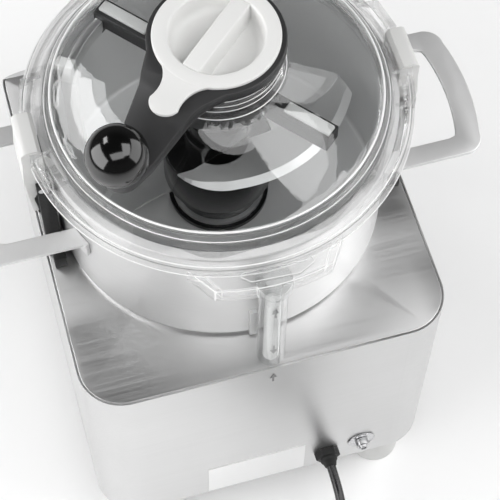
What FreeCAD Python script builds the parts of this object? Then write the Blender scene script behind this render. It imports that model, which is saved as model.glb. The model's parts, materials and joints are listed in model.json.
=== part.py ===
import FreeCAD, Part
import Sketcher
import math
import os
import re

# Table-top bowl cutter, in millimetres. The Z axis is the axis of the bowl, the floor is Z 0,
# +Y is the rear with the cable, -Y the front with the buttons.
SIZES = {
    # housing
    "foot_height": 40, "foot_radius": 20, "foot_waist": 17, "foot_inset": 23, "foot_side": 36,
    "housing_height": 213, "side_room": 16, "rear_room": 31, "front_room": 45,
    "slope_run": 24, "slope_drop": 27, "corner_radius": 33, "sheet_wall": 1.5, "deck_wall": 2,
    "sheet_fit": 0.2, "screw_radius": 2.5, "vent_radius": 3.5, "vent_circle": 38,
    # bowl
    "bowl_radius": 120, "bowl_height": 121.5, "bowl_wall": 2, "bowl_corner": 6, "rim_width": 4.5,
    "rim_depth": 4, "chimney_bore": 15.5, "chimney_wall": 1.5, "chimney_height": 60,
    "handle_depth": 69, "handle_width": 15.5, "handle_wall": 3, "handle_gap": 79,
    "handle_level": 66, "handle_bow": 170, "handle_tab": 15,
    "guide_width": 5, "guide_height": 34, "guide_depth": 3, "guide_side": 8,
    # cutting rotor
    "shaft_radius": 9, "shaft_fit": 0.05, "hub_gap": 0.6, "hub_radius": 24, "hub_foot": 37,
    "hub_rise": 4, "hub_foot_wall": 4, "blade_wall": 2.5, "waist_radius": 31, "waist_top": 34,
    "drum_radius": 39.5, "drum_top": 70.5, "neck_radius": 12, "neck_top": 92.5, "blade_eye": 22,
    "blade_gap": 13, "blade_start": 35, "blade_start_side": 21, "blade_heel": 4.3,
    "blade_heel_side": 42.8, "blade_hub_arc": 45, "blade_arc": 102.5, "blade_back_arc": 120,
    "collar_radius": 24, "collar_flat": 11.9, "collar_lean": 19.5, "knob_radius": 21.7,
    "knob_height": 19,
    # lid
    "lid_overhang": 15.6, "lid_drop": 2.7, "lid_slant": 3.7, "lid_knee": 4.2,
    "lid_inset": 2.4, "lid_top": 12, "lid_wall": 4, "dome_inset": 7, "dome_start": 17,
    "dome_arc": 190, "ledge_radius": 45.8, "ledge_top": 46.5, "throat_radius": 42,
    "throat_wall": 4, "throat_top": 66.2, "thread_depth": 1.6, "thread_pitch": 5.5,
    "spigot_depth": 7, "gasket_wall": 1.5, "notch_half": 17.2, "lug_width": 25.5,
    "lug_height": 14, "shelf_depth": 26, "shelf_wall": 4, "shelf_lip": 13, "shelf_half": 40,
    "shelf_taper": 14,
    # interlock
    "tube_stand": 20, "tube_radius": 10, "tube_bore": 6, "tube_gap": 2.5, "tube_collar": 12.5,
    "tube_flare": 2, "tube_collar_low": 104, "rod_radius": 5.7, "rod_length": 82,
    # scraper
    "run_gap": 0.3, "sleeve_wall": 4.2, "sleeve_low": 18.5, "lever_radius": 46, "lever_wall": 8,
    "lever_inset": 12.7, "lever_angle": 39.4, "lever_root_half": 33, "lever_tip_half": 15,
    "lever_drop": 25, "boss_radius": 12.7, "boss_height": 9.5, "stud_radius": 4,
    "ball_radius": 20.5, "ball_rise": 8.6, "bar_angle": -49, "bar_top": 9, "bar_depth": 13,
    "bar_near": 8.6, "bar_cheek": 3.7, "bar_lip": 1.5, "bar_floor": 2.5, "bar_inset": 10,
    "bar_stub": 37, "strip_width": 9.2, "strip_rise": 1.5, "strip_share": 0.546,
    "stub_share": 0.806, "wiper_angle": -32, "wiper_gap": 2.5, "wiper_width": 13,
    "wiper_wall": 4, "wiper_low": 14, "link_wall": 6, "link_span": 23,
    # cap
    "cap_radius": 42.3, "cap_rim": 3, "cap_bore": 31.4, "cap_depth": 16, "cap_skin": 2,
    "grip_half": 7, "grip_angle": 43, "tab_reach": 63, "tab_radius": 10.5, "tab_half": 11,
    # latches
    "latch_gap": 0.8, "latch_depth": 15.2, "latch_half": 16.5, "latch_top": 14,
    "latch_low": 61, "latch_strap": 4, "latch_bulge": 1.5, "latch_cheek": 4.5, "latch_pin_in": 4.7,
    "latch_pin_level": 91, "latch_pin_radius": 2.5, "latch_web": 3, "post_gap": 2.5,
    "post_depth": 11, "post_half": 20.5, "post_height": 99, "base_half": 32,
    "base_height": 13, "spring_radius": 5.2, "spring_half": 6,
    # drive
    "flange_radius": 74, "flange_wall": 12, "boss_rise": 30, "boss_outer": 15.2, "stator_radius": 62,
    "stator_bore": 38, "stator_height": 112, "core_gap": 0.5, "core_margin": 5,
    "shield_wall": 10, "shield_boss": 12, "shield_boss_radius": 24, "bearing_radius": 14,
    "bearing_wall": 9, "seal_wall": 5, "fan_radius": 50, "fan_height": 20, "fan_hub": 16,
    "fan_wall": 2, "fan_gap": 6, "stud_circle": 68, "stud_size": 3,
    "nut_width": 10, "nut_wall": 5, "capacitor_radius": 20, "capacitor_length": 70,
    "capacitor_inset": 44, "capacitor_front": 60, "board_length": 110, "board_width": 44,
    "board_wall": 1.6, "relay_length": 18, "relay_width": 16, "relay_height": 15,
    "relay_start": 40, "relay_pitch": 30, "standoff_height": 10, "board_inset": 43, "switch_width": 14,
    "switch_height": 22,
    # rear fittings
    "plate_width": 80, "plate_height": 46, "plate_wall": 0.8, "plate_side": 10.7,
    "plate_level": 186, "gland_side": 48, "gland_level": 190, "gland_nut": 21.5,
    "gland_length": 14, "gland_body": 8, "cable_radius": 3.75, "terminal_side": 77,
    "terminal_level": 183, "washer_radius": 11.5, "washer_wall": 1.5, "post_radius": 5.3,
    "post_length": 12, "post_hole": 3,
    # front buttons
    "button_radius": 11, "button_height": 9, "button_pitch": 45, "button_fit": 0.3,
    "collar_ring": 15, "collar_wall": 3, "button_travel": 2.5, "button_rise": 4.5,
    "block_depth": 27,
    # put-away cable
    "coil_x": -37.5, "coil_room": 169.5, "coil_mid": 41, "coil_step": 7.5, "plug_radius": 18,
    "plug_length": 34, "pin_radius": 2.4, "pin_length": 19, "pin_pitch": 19,
}

DERIVED = {
    "deck": "foot_height + housing_height",
    "rim_top": "deck + bowl_height",
    "housing_side": "bowl_radius + side_room",
    "housing_rear": "bowl_radius + rear_room",
    "housing_front": "bowl_radius + front_room",
    "deck_front": "housing_front - slope_run",
    "handle_reach": "bowl_radius + handle_depth",
    "lid_radius": "bowl_radius + lid_overhang",
    "lid_knee_radius": "lid_radius - lid_slant",
    "lid_top_radius": "bowl_radius - lid_inset",
    "dome_radius": "bowl_radius - dome_inset",
    "shelf_reach": "bowl_radius + shelf_depth",
    "tube_offset": "bowl_radius + tube_stand",
    "lever_reach": "bowl_radius - lever_inset",
    "bar_far": "bowl_radius - bar_inset",
    "bar_short": "bowl_radius - bar_stub",
    "wiper_outer": "bowl_radius - bowl_wall - wiper_gap",
    "blade_reach": "bowl_radius - bowl_wall - blade_gap",
    "latch_inner": "bowl_radius + rim_width + latch_gap",
    "latch_outer": "latch_inner + latch_depth",
    "latch_pin_x": "latch_inner + latch_pin_in",
    "post_inner": "bowl_radius + post_gap",
    "post_outer": "post_inner + post_depth",
    "lid_seat": "rim_top + gasket_wall",
    "chimney_radius": "chimney_bore + chimney_wall",
    "hub_bore": "chimney_radius + hub_gap",
    "hub_low": "deck + hub_rise",
    "blade_low": "hub_low + hub_foot_wall",
    "blade_high": "deck + drum_top",
    "collar_low": "blade_high + blade_wall",
    "hub_roof": "deck + chimney_height + 2",
    "knob_low": "deck + neck_top",
    "throat_bore": "throat_radius - throat_wall",
    "throat_end": "lid_seat + throat_top - gasket_wall",
    "sleeve_radius": "throat_bore - run_gap",
    "sleeve_bore": "sleeve_radius - sleeve_wall",
    "lever_low": "throat_end + run_gap",
    "lever_top": "lever_low + lever_wall",
    "lever_tip_low": "lever_low - lever_drop",
    "motor_top": "deck - deck_wall",
    "stator_top": "motor_top - flange_wall",
    "stator_low": "stator_top - stator_height",
    "shield_low": "stator_low - shield_wall",
    "fan_top": "shield_low - shield_boss - fan_gap",
    "floor_top": "foot_height + deck_wall",
    "inner_side": "housing_side - sheet_wall - sheet_fit",
    "inner_rear": "housing_rear - sheet_wall - sheet_fit",
    "inner_front": "housing_front - sheet_wall - sheet_fit",
    "inner_corner": "corner_radius - sheet_wall - sheet_fit",
    "coil_y": "housing_rear + coil_room",
}

document = FreeCAD.newDocument("BowlCutter")
sheet = document.addObject("Spreadsheet::Sheet", "Sizes")
WORD = re.compile(r"[a-z][a-z_]*")


def fill_sheet():
    """Writes every driving dimension to the spreadsheet, one aliased cell each."""
    for row, (alias, number) in enumerate(SIZES.items(), start=1):
        sheet.set("A%d" % row, alias)
        sheet.set("B%d" % row, str(number))
        sheet.setAlias("B%d" % row, alias)
    document.recompute()


def formula(text):
    """Returns the expression of a size written with plain names."""
    def swap(match):
        word = match.group(0)
        if word in DERIVED:
            return "(" + formula(DERIVED[word]) + ")"
        return "Sizes." + word if word in SIZES else word
    return WORD.sub(swap, str(text))


def number(text):
    """Returns the present value of a size expression."""
    return float(sheet.evalExpression(formula(text)))


def bind(thing, **properties):
    """Binds properties such as Radius or Placement__Base__z to size expressions."""
    for name, text in properties.items():
        thing.setExpression(name.replace("__", "."), formula(text))
    return thing


def place(thing, x="0", y="0", z="0", turn=None, axis=(0, 0, 1)):
    """Places an object by expressions, turned by the expression turn (degrees) about axis."""
    if turn is not None:
        thing.Placement = FreeCAD.Placement(FreeCAD.Vector(), FreeCAD.Rotation(FreeCAD.Vector(*axis), 10))
        bind(thing, Placement__Rotation__Angle=turn)
    for letter, text in (("x", x), ("y", y), ("z", z)):
        if str(text) != "0":
            bind(thing, **{"Placement__Base__" + letter: text})
    return thing


def new_object(kind, name):
    """Adds an object whose label is its own name."""
    thing = document.addObject(kind, name)
    thing.Label = name
    return thing


def cylinder(name, radius, height, **where):
    """A cylinder standing on its placement."""
    thing = new_object("Part::Cylinder", name)
    bind(thing, Radius=radius, Height=height)
    return place(thing, **where)


def box(name, length, width, height, **where):
    """A box from its placement along +X, +Y and +Z."""
    thing = new_object("Part::Box", name)
    bind(thing, Length=length, Width=width, Height=height)
    return place(thing, **where)


def cut(name, base, *tools):
    """Takes the tools out of the base."""
    tool = tools[0] if len(tools) == 1 else fuse(name + "_tools", *tools)
    thing = new_object("Part::Cut", name)
    thing.Base, thing.Tool = base, tool
    return thing


def common(name, first, second):
    """Keeps what two objects share."""
    thing = new_object("Part::Common", name)
    thing.Base, thing.Tool = first, second
    return thing


def fuse(name, *shapes):
    """Joins objects to one."""
    thing = new_object("Part::MultiFuse", name)
    thing.Shapes = list(shapes)
    return thing


def group(name, *shapes):
    """Keeps several equal pieces together as separate solids."""
    thing = new_object("Part::Compound", name)
    thing.Links = list(shapes)
    return thing


def mirrored(name, source, normal=(1, 0, 0)):
    """The source seen in a mirror through the origin."""
    thing = new_object("Part::Mirroring", name)
    thing.Source = source
    thing.Normal = FreeCAD.Vector(*normal)
    return thing


def origin_feature(body, role):
    """Finds a plane or axis of a body's own origin."""
    return next(item for item in body.Origin.OriginFeatures if item.Role == role)


class Piece:
    """A body built from sketches whose every size is an expression."""

    def __init__(self, name):
        self.body = new_object("PartDesign::Body", name)
        self.name = name
        self.steps = 0

    def sketch(self, role, outlines, offset="0"):
        """Draws closed outlines on an origin plane.

        An outline is a list of corners (x, y) joined by lines; a corner with a third and fourth
        item starts an arc of that radius, which bulges to the right of travel for +1 and to the
        left for -1. An outline of one item (x, y, radius) is a circle.
        """
        self.steps += 1
        sketch = self.body.newObject("Sketcher::SketchObject", "%s_sketch_%d" % (self.name, self.steps))
        sketch.AttachmentSupport = [(origin_feature(self.body, role), "")]
        sketch.MapMode = "FlatFace"
        if str(offset) != "0":
            bind(sketch, AttachmentOffset__Base__z=offset)
        for outline in outlines:
            if len(outline) == 1:
                self.draw_circle(sketch, *outline[0])
            else:
                self.draw_loop(sketch, outline)
        return sketch

    @staticmethod
    def fix(sketch, kind, item, end, text):
        """Fixes one coordinate of a point; a zero puts the point on the sketch's axis."""
        if str(text) == "0":
            axis = -2 if kind == "DistanceX" else -1
            sketch.addConstraint(Sketcher.Constraint("PointOnObject", item, end, axis))
            return
        rule = sketch.addConstraint(Sketcher.Constraint(kind, item, end, number(text)))
        sketch.setExpression("Constraints[%d]" % rule, formula(text))

    def draw_circle(self, sketch, x, y, radius):
        """Adds one circle."""
        centre = FreeCAD.Vector(number(x), number(y), 0)
        item = sketch.addGeometry(Part.Circle(centre, FreeCAD.Vector(0, 0, 1), number(radius)), False)
        self.fix(sketch, "DistanceX", item, 3, x)
        self.fix(sketch, "DistanceY", item, 3, y)
        rule = sketch.addConstraint(Sketcher.Constraint("Radius", item, number(radius)))
        sketch.setExpression("Constraints[%d]" % rule, formula(radius))

    def draw_loop(self, sketch, outline):
        """Adds a closed run of lines and arcs."""
        corners = [FreeCAD.Vector(number(item[0]), number(item[1]), 0) for item in outline]
        items = []
        starts = []
        for index, item in enumerate(outline):
            first = corners[index]
            last = corners[(index + 1) % len(outline)]
            if len(item) == 2:
                items.append(sketch.addGeometry(Part.LineSegment(first, last), False))
                starts.append((1, 2))
                continue
            radius = number(item[2])
            chord = last - first
            reach = math.sqrt(max(radius ** 2 - chord.Length ** 2 / 4, 0))
            side = FreeCAD.Vector(chord.y, -chord.x, 0).normalize() * item[3]
            centre = (first + last) * 0.5 - side * reach
            middle = centre + side * radius
            items.append(sketch.addGeometry(Part.Arc(first, middle, last), False))
            starts.append((1, 2) if self.starts_at(sketch, items[-1], first) else (2, 1))
        for index, item in enumerate(outline):
            following = (index + 1) % len(outline)
            sketch.addConstraint(Sketcher.Constraint(
                "Coincident", items[index], starts[index][1], items[following], starts[following][0]))
            self.fix(sketch, "DistanceX", items[index], starts[index][0], item[0])
            self.fix(sketch, "DistanceY", items[index], starts[index][0], item[1])
            if len(item) > 2:
                rule = sketch.addConstraint(Sketcher.Constraint("Radius", items[index], number(item[2])))
                sketch.setExpression("Constraints[%d]" % rule, formula(item[2]))

    @staticmethod
    def starts_at(sketch, item, point):
        """Tells whether a drawn arc starts at the point."""
        return (sketch.getPoint(item, 1) - point).Length < (sketch.getPoint(item, 2) - point).Length

    def feature(self, kind, sketch):
        """Adds a sketch-based feature."""
        self.steps += 1
        thing = self.body.newObject("PartDesign::" + kind, "%s_step_%d" % (self.name, self.steps))
        thing.Profile = sketch
        return thing

    def pad(self, role, outlines, length, offset="0", middle=False, reverse=False):
        """Adds material along the sketch's normal."""
        thing = self.feature("Pad", self.sketch(role, outlines, offset))
        bind(thing, Length=length)
        thing.SideType = "Symmetric" if middle else "One side"
        thing.Reversed = reverse
        return self

    def pocket(self, role, outlines, length, offset="0", middle=False, reverse=False):
        """Takes material away; by itself it cuts against the sketch's normal."""
        thing = self.feature("Pocket", self.sketch(role, outlines, offset))
        bind(thing, Length=length)
        thing.SideType = "Symmetric" if middle else "One side"
        thing.Reversed = reverse
        return self

    def revolve(self, outlines):
        """Turns a half section drawn in X and Z about the Z axis."""
        sketch = self.sketch("XZ_Plane", outlines)
        thing = self.feature("Revolution", sketch)
        thing.ReferenceAxis = (sketch, ["V_Axis"])
        thing.Angle = 360
        return self

    def around(self, count):
        """Repeats the last step round the Z axis; the count is a number of copies."""
        last = self.body.Tip
        self.steps += 1
        thing = self.body.newObject("PartDesign::PolarPattern", "%s_step_%d" % (self.name, self.steps))
        thing.Originals = [last]
        thing.Axis = (origin_feature(self.body, "Z_Axis"), [""])
        thing.Angle = 360
        thing.Occurrences = count
        self.body.Tip = thing
        return self

    def mirror(self, *roles):
        """Repeats the last step on the other side of each plane in turn."""
        for role in roles:
            last = self.body.Tip
            self.steps += 1
            thing = self.body.newObject("PartDesign::Mirrored", "%s_step_%d" % (self.name, self.steps))
            thing.Originals = [last]
            thing.MirrorPlane = (origin_feature(self.body, role), [""])
            self.body.Tip = thing
        return self

    def at(self, **where):
        """Places the body."""
        place(self.body, **where)
        return self.body


def rounded_outline(side, front, rear, radius):
    """The outline of a plate with four round corners, as seen from above."""
    return [
        (f"{side}", f"-({front}) + ({radius})"), (f"{side}", f"({rear}) - ({radius})", radius, 1),
        (f"({side}) - ({radius})", f"{rear}"), (f"({radius}) - ({side})", f"{rear}", radius, 1),
        (f"-({side})", f"({rear}) - ({radius})"), (f"-({side})", f"({radius}) - ({front})", radius, 1),
        (f"({radius}) - ({side})", f"-({front})"), (f"({side}) - ({radius})", f"-({front})", radius, 1),
    ]


def half_ring(inner, outer, low, high):
    """The half section of a plain ring."""
    return [(inner, low), (outer, low), (outer, high), (inner, high)]


def ring(name, inner, outer, low, high, **where):
    """A plain ring about the Z axis."""
    return Piece(name).revolve([half_ring(inner, outer, low, high)]).at(**where)


NODES = []


def keep(*things):
    """Marks finished sub-parts for export."""
    NODES.extend(things)


def slope_cut(depth):
    """The region in front of the sloping panel, as seen from the side, moved back by a depth."""
    run, drop = "slope_run", "slope_drop"
    lean = f"sqrt(({run}) ^ 2 + {drop} ^ 2)"
    back = f"({depth}) * {lean} / ({run})"
    reach = "20"
    return [
        (f"-deck_front", f"deck - {back}"),
        (f"-deck_front", f"deck + {reach}"),
        (f"-housing_front - {reach}", f"deck + {reach}"),
        (f"-housing_front - {reach}", f"deck - {back} - {drop} * (({run}) + {reach}) / ({run})"),
    ]


def build_housing():
    """The sheet-metal body: wrap, deck, sloping panel and floor."""
    wrap = Piece("wrap_blank")
    wrap.pad("XY_Plane", [
        rounded_outline("housing_side", "housing_front", "housing_rear", "corner_radius"),
        rounded_outline("housing_side - sheet_wall", "housing_front - sheet_wall",
                        "housing_rear - sheet_wall", "corner_radius - sheet_wall"),
    ], "housing_height", offset="foot_height")
    wrap.pocket("YZ_Plane", [slope_cut("0")], "housing_side * 2 + 10", middle=True)
    gland_hole = cylinder("gland_hole", "gland_body - 1", "sheet_wall * 4", x="-gland_side",
                          y="housing_rear + sheet_wall", z="deck - gland_level", turn="90", axis=(1, 0, 0))
    post_hole = cylinder("terminal_hole", "post_hole", "sheet_wall * 4", x="-terminal_side",
                         y="housing_rear + sheet_wall", z="deck - terminal_level", turn="90",
                         axis=(1, 0, 0))
    keep(cut("housing_body", wrap.body, gland_hole, post_hole))

    deck = Piece("top_plate")
    start = "corner_radius - housing_front"
    edge = f"(inner_side - inner_corner + sqrt(inner_corner ^ 2 - (deck_front + {start}) ^ 2))"
    deck.pad("XY_Plane", [[
        (edge, "-deck_front", "inner_corner", 1), ("inner_side", start),
        ("inner_side", "inner_rear - inner_corner", "inner_corner", 1),
        ("inner_side - inner_corner", "inner_rear"),
        ("inner_corner - inner_side", "inner_rear", "inner_corner", 1),
        ("-inner_side", "inner_rear - inner_corner"), ("-inner_side", start, "inner_corner", 1),
        (f"-{edge}", "-deck_front"),
    ], [("0", "0", "boss_outer + sheet_fit")]], "deck_wall", offset="deck - deck_wall")
    keep(deck.at())

    panel = Piece("front_blank")
    panel.pad("XY_Plane", [rounded_outline("inner_side", "inner_front", "-60",
                                           "inner_corner")],
              "slope_drop + 8", offset="deck - slope_drop - 8")
    panel.pocket("YZ_Plane", [slope_cut("0")], "housing_side * 2 + 10", middle=True)
    panel.pocket("YZ_Plane", [[
        ("-deck_front", f"deck - deck_wall * sqrt(slope_run ^ 2 + slope_drop ^ 2) / (slope_run)"),
        ("-housing_front - 20", "deck - deck_wall * sqrt(slope_run ^ 2 + slope_drop ^ 2) / (slope_run)"
                                " - slope_drop * (slope_run + 20) / (slope_run)"),
        ("-housing_front - 20", "deck - slope_drop - 60"), ("-40", "deck - slope_drop - 60"),
        ("-40", "deck + 10"), ("-deck_front", "deck + 10"),
    ]], "housing_side * 2 + 10", middle=True)
    holes = [tilted_cylinder("button_hole_%s" % name, "button_radius + button_fit", "deck_wall * 6",
                             column, "-deck_wall * 3") for name, column in BUTTONS.items()]
    keep(cut("front_panel", panel.body, *holes))

    floor = Piece("base_plate")
    floor.pad("XY_Plane", [rounded_outline("inner_side", "inner_front", "inner_rear", "inner_corner")],
              "deck_wall", offset="foot_height")
    floor.pocket("XY_Plane", [[("vent_circle", "0", "vent_radius")]], "deck_wall * 2",
                 offset="floor_top + deck_wall").around(12)
    keep(floor.at())


BUTTONS = {"start": "-button_pitch", "stop": "0", "pulse": "button_pitch"}


def tilted_cylinder(name, radius, height, column, depth):
    """A cylinder square to the sloping panel, from a depth along the panel's normal."""
    thing = new_object("Part::Cylinder", name)
    bind(thing, Radius=radius, Height=height)
    thing.Placement = FreeCAD.Placement(FreeCAD.Vector(), FreeCAD.Rotation(FreeCAD.Vector(1, 0, 0), 45))
    lean = "atan(slope_drop / (slope_run))"
    bind(thing, Placement__Rotation__Angle=lean)
    middle_y = "-(deck_front + housing_front) / 2"
    middle_z = "deck - slope_drop / 2"
    if column != "0":
        bind(thing, Placement__Base__x=column)
    bind(thing, Placement__Base__y=f"{middle_y} - ({depth}) * sin({lean})",
         Placement__Base__z=f"{middle_z} + ({depth}) * cos({lean})")
    return thing


def build_feet():
    """Four rubber feet with their screws."""
    feet = []
    screws = []
    for side, x in (("left", "housing_side - foot_side"), ("right", "foot_side - housing_side")):
        for end, y in (("rear", "housing_rear - foot_inset"), ("front", "foot_inset - housing_front")):
            where = {"x": x, "y": y}
            foot = Piece("foot_%s_%s" % (end, side))
            foot.revolve([[
                ("screw_radius", "foot_height * 0.4"), ("foot_waist * 0.5", "foot_height * 0.4"),
                ("foot_waist * 0.5", "0"), ("foot_radius - 1.5", "0"), ("foot_radius", "1.5"),
                ("foot_radius", "foot_height * 0.25"), ("foot_waist", "foot_height * 0.75"),
                ("foot_waist", "foot_height"), ("screw_radius", "foot_height"),
            ]])
            feet.append(foot.at(**where))
            screw = Piece("foot_screw_%s_%s" % (end, side))
            screw.revolve([[
                ("0", "foot_height * 0.4 - 4"), ("screw_radius * 2", "foot_height * 0.4 - 4"),
                ("screw_radius * 2", "foot_height * 0.4"), ("screw_radius", "foot_height * 0.4"),
                ("screw_radius", "foot_height"), ("0", "foot_height"),
            ]])
            screws.append(screw.at(**where))
    keep(group("feet", *feet), group("foot_screws", *screws))


def build_drive():
    """Motor, bearings, spindle and fan under the deck."""
    flange = Piece("motor_flange")
    flange.revolve([[
        ("shaft_radius + 1", "stator_top"), ("bearing_radius", "stator_top"),
        ("flange_radius", "stator_top"), ("flange_radius", "motor_top"), ("boss_outer", "motor_top"),
        ("boss_outer", "deck + boss_rise"), ("shaft_radius + 3", "deck + boss_rise"),
        ("shaft_radius + 3", "deck + boss_rise - seal_wall"),
        ("shaft_radius + 1", "deck + boss_rise - seal_wall"),
    ]])
    flange.pocket("XY_Plane", [[("stud_circle", "0", "stud_size + sheet_fit")]], "flange_wall * 2",
                  offset="motor_top + flange_wall / 2").around(4)
    flange.pocket("XY_Plane", [[("0", "0", "bearing_radius")]], "bearing_wall",
                  offset="stator_top + bearing_wall")
    keep(flange.at())
    keep(ring("upper_bearing", "shaft_radius + shaft_fit", "bearing_radius", "stator_top",
              "stator_top + bearing_wall"))
    keep(ring("shaft_seal", "shaft_radius + shaft_fit", "shaft_radius + 3",
              "deck + boss_rise - seal_wall", "deck + boss_rise"))
    keep(ring("motor_stator", "stator_bore", "stator_radius", "stator_low", "stator_top"))
    shield = Piece("motor_end_shield")
    shield.revolve([[
        ("shaft_radius + 1", "shield_low - shield_boss"), ("shield_boss_radius", "shield_low - shield_boss"),
        ("shield_boss_radius", "shield_low"), ("stator_radius", "shield_low"),
        ("stator_radius", "stator_low"), ("bearing_radius", "stator_low"),
        ("bearing_radius", "stator_low - bearing_wall"), ("shaft_radius + 1", "stator_low - bearing_wall"),
    ]])
    keep(shield.at())
    keep(ring("lower_bearing", "shaft_radius + shaft_fit", "bearing_radius",
              "stator_low - bearing_wall", "stator_low"))
    keep(ring("motor_rotor", "shaft_radius", "stator_bore - core_gap", "stator_low + core_margin",
              "stator_top - core_margin"))
    spindle = Piece("drive_spindle")
    spindle.revolve([[
        ("0", "fan_top - fan_height"), ("shaft_radius", "fan_top - fan_height"),
        ("shaft_radius", "knob_low - 2.5"),
        ("shaft_radius - 1.5", "knob_low - 0.5"),
        ("0", "knob_low - 0.5"),
    ]])
    keep(spindle.at())
    fan = Piece("cooling_fan")
    fan.revolve([[
        ("shaft_radius", "fan_top - fan_height"), ("fan_hub", "fan_top - fan_height"),
        ("fan_hub", "fan_top - fan_wall"), ("fan_radius", "fan_top - fan_wall"), ("fan_radius", "fan_top"),
        ("shaft_radius", "fan_top"),
    ]])
    fan.pad("XY_Plane", [[
        ("fan_hub - 1", "-fan_wall / 2"), ("fan_radius - 2", "-fan_wall / 2"),
        ("fan_radius - 2", "fan_wall / 2"), ("fan_hub - 1", "fan_wall / 2"),
    ]], "fan_height - fan_wall", offset="fan_top - fan_height").around(8)
    keep(fan.at())
    bolts = []
    for index, (x, y) in enumerate((("stud_circle", "0"), ("-stud_circle", "0"),
                                    ("0", "stud_circle"), ("0", "-stud_circle"))):
        head = hexagon("motor_bolt_head_%d" % index, "nut_width / 2", "nut_wall", x=x, y=y,
                       z="stator_top - nut_wall")
        shank = cylinder("motor_bolt_shank_%d" % index, "stud_size", "flange_wall + nut_wall / 2",
                         x=x, y=y, z="stator_top - nut_wall / 2")
        bolts.append(fuse("motor_bolt_%d" % index, head, shank))
    keep(group("motor_bolts", *bolts))


def hexagon(name, width, height, **where):
    """A hexagonal prism by its width across flats."""
    thing = new_object("Part::Prism", name)
    thing.Polygon = 6
    bind(thing, Circumradius=f"({width}) / cos(30)", Height=height)
    return place(thing, **where)


def build_electrics():
    """Control board, run capacitor and the lid sensor inside the housing."""
    legs = []
    for index, (x, y) in enumerate(((1, 1), (1, -1), (-1, 1), (-1, -1))):
        legs.append(cylinder(
            "board_leg_%d" % index, "3", "standoff_height", x=f"{x} * (board_length / 2 - 6)",
            y=f"{y} * (board_width / 2 - 6) + board_inset - housing_front", z="floor_top"))
    keep(group("board_standoffs", *legs))
    board = box("board_sheet", "board_length", "board_width", "board_wall", x="-board_length / 2",
                y="board_inset - housing_front - board_width / 2", z="floor_top + standoff_height")
    relays = [box("board_relay_%d" % index, "relay_length", "relay_width", "relay_height",
                  x=f"{index} * relay_pitch - relay_start",
                  y="board_inset - housing_front - relay_width / 2",
                  z="floor_top + standoff_height + board_wall") for index in range(3)]
    keep(fuse("control_board", board, *relays))
    keep(cylinder("run_capacitor", "capacitor_radius", "capacitor_length",
                  x="housing_side - capacitor_inset",
                  y="capacitor_front", z="floor_top"))
    keep(box("lid_sensor", "switch_width", "switch_width * 0.6", "switch_height",
             x="-switch_width / 2", y="tube_offset - switch_width * 0.3",
             z="motor_top - switch_height"))


def build_bowl():
    """The stainless bowl with its chimney, handles and guide."""
    bowl = Piece("bowl")
    bowl.revolve([[
        ("chimney_bore", "deck"), ("bowl_radius - bowl_corner", "deck", "bowl_corner", 1),
        ("bowl_radius", "deck + bowl_corner"), ("bowl_radius", "rim_top - rim_depth"),
        ("bowl_radius + rim_width", "rim_top - rim_depth * 0.75"), ("bowl_radius + rim_width", "rim_top"),
        ("bowl_radius - bowl_wall", "rim_top"),
        ("bowl_radius - bowl_wall", "deck + bowl_corner", "bowl_corner - bowl_wall", -1),
        ("bowl_radius - bowl_corner", "deck + bowl_wall"), ("chimney_radius", "deck + bowl_wall"),
        ("chimney_radius", "deck + chimney_height"), ("chimney_bore", "deck + chimney_height"),
    ]])
    keep(bowl.at())

    leg = "handle_gap / 2"
    far = "(handle_gap / 2 + handle_width)"
    loop = Piece("handle_blank")
    loop.pad("XY_Plane", [[
        ("60", f"-{far}"), ("handle_reach - 21", f"-{far}", "14.5", 1),
        ("handle_reach - 4.9", f"-{leg} - 1", "handle_bow", 1),
        ("handle_reach - 4.9", f"{leg} + 1", "14.5", 1),
        ("handle_reach - 21", far), ("60", far), ("60", leg),
        ("handle_reach - handle_width - 6", leg, "handle_bow - handle_width", -1),
        ("handle_reach - handle_width - 6", f"-{leg}"), ("60", f"-{leg}"),
    ]], "handle_wall", offset="deck + handle_level - handle_wall")
    drum = cylinder("handle_drum", "bowl_radius", "handle_level * 2", z="deck")
    flat = cut("handle_flat", loop.body, drum)
    tab_ring = ring("tab_ring", "bowl_radius", "bowl_radius + handle_wall",
                    "deck + handle_level - handle_tab", "deck + handle_level")
    tab_boxes = [box("tab_box_%d" % index, "60", "handle_width", "handle_tab", x="80", y=y,
                     z="deck + handle_level - handle_tab")
                 for index, y in enumerate((leg, f"-{far}"))]
    tabs = common("handle_tabs", tab_ring, fuse("tab_boxes", *tab_boxes))
    left = fuse("handle_left", flat, tabs)
    keep(left, mirrored("handle_right", left))

    strip = ring("guide_ring", "bowl_radius", "bowl_radius + guide_depth", "deck + 3",
                 "deck + 3 + guide_height")
    window = box("guide_box", "guide_width", "30", "guide_height", x="guide_side - guide_width / 2",
                 y="bowl_radius - 15", z="deck + 3")
    keep(common("bowl_guide", strip, window))


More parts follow.
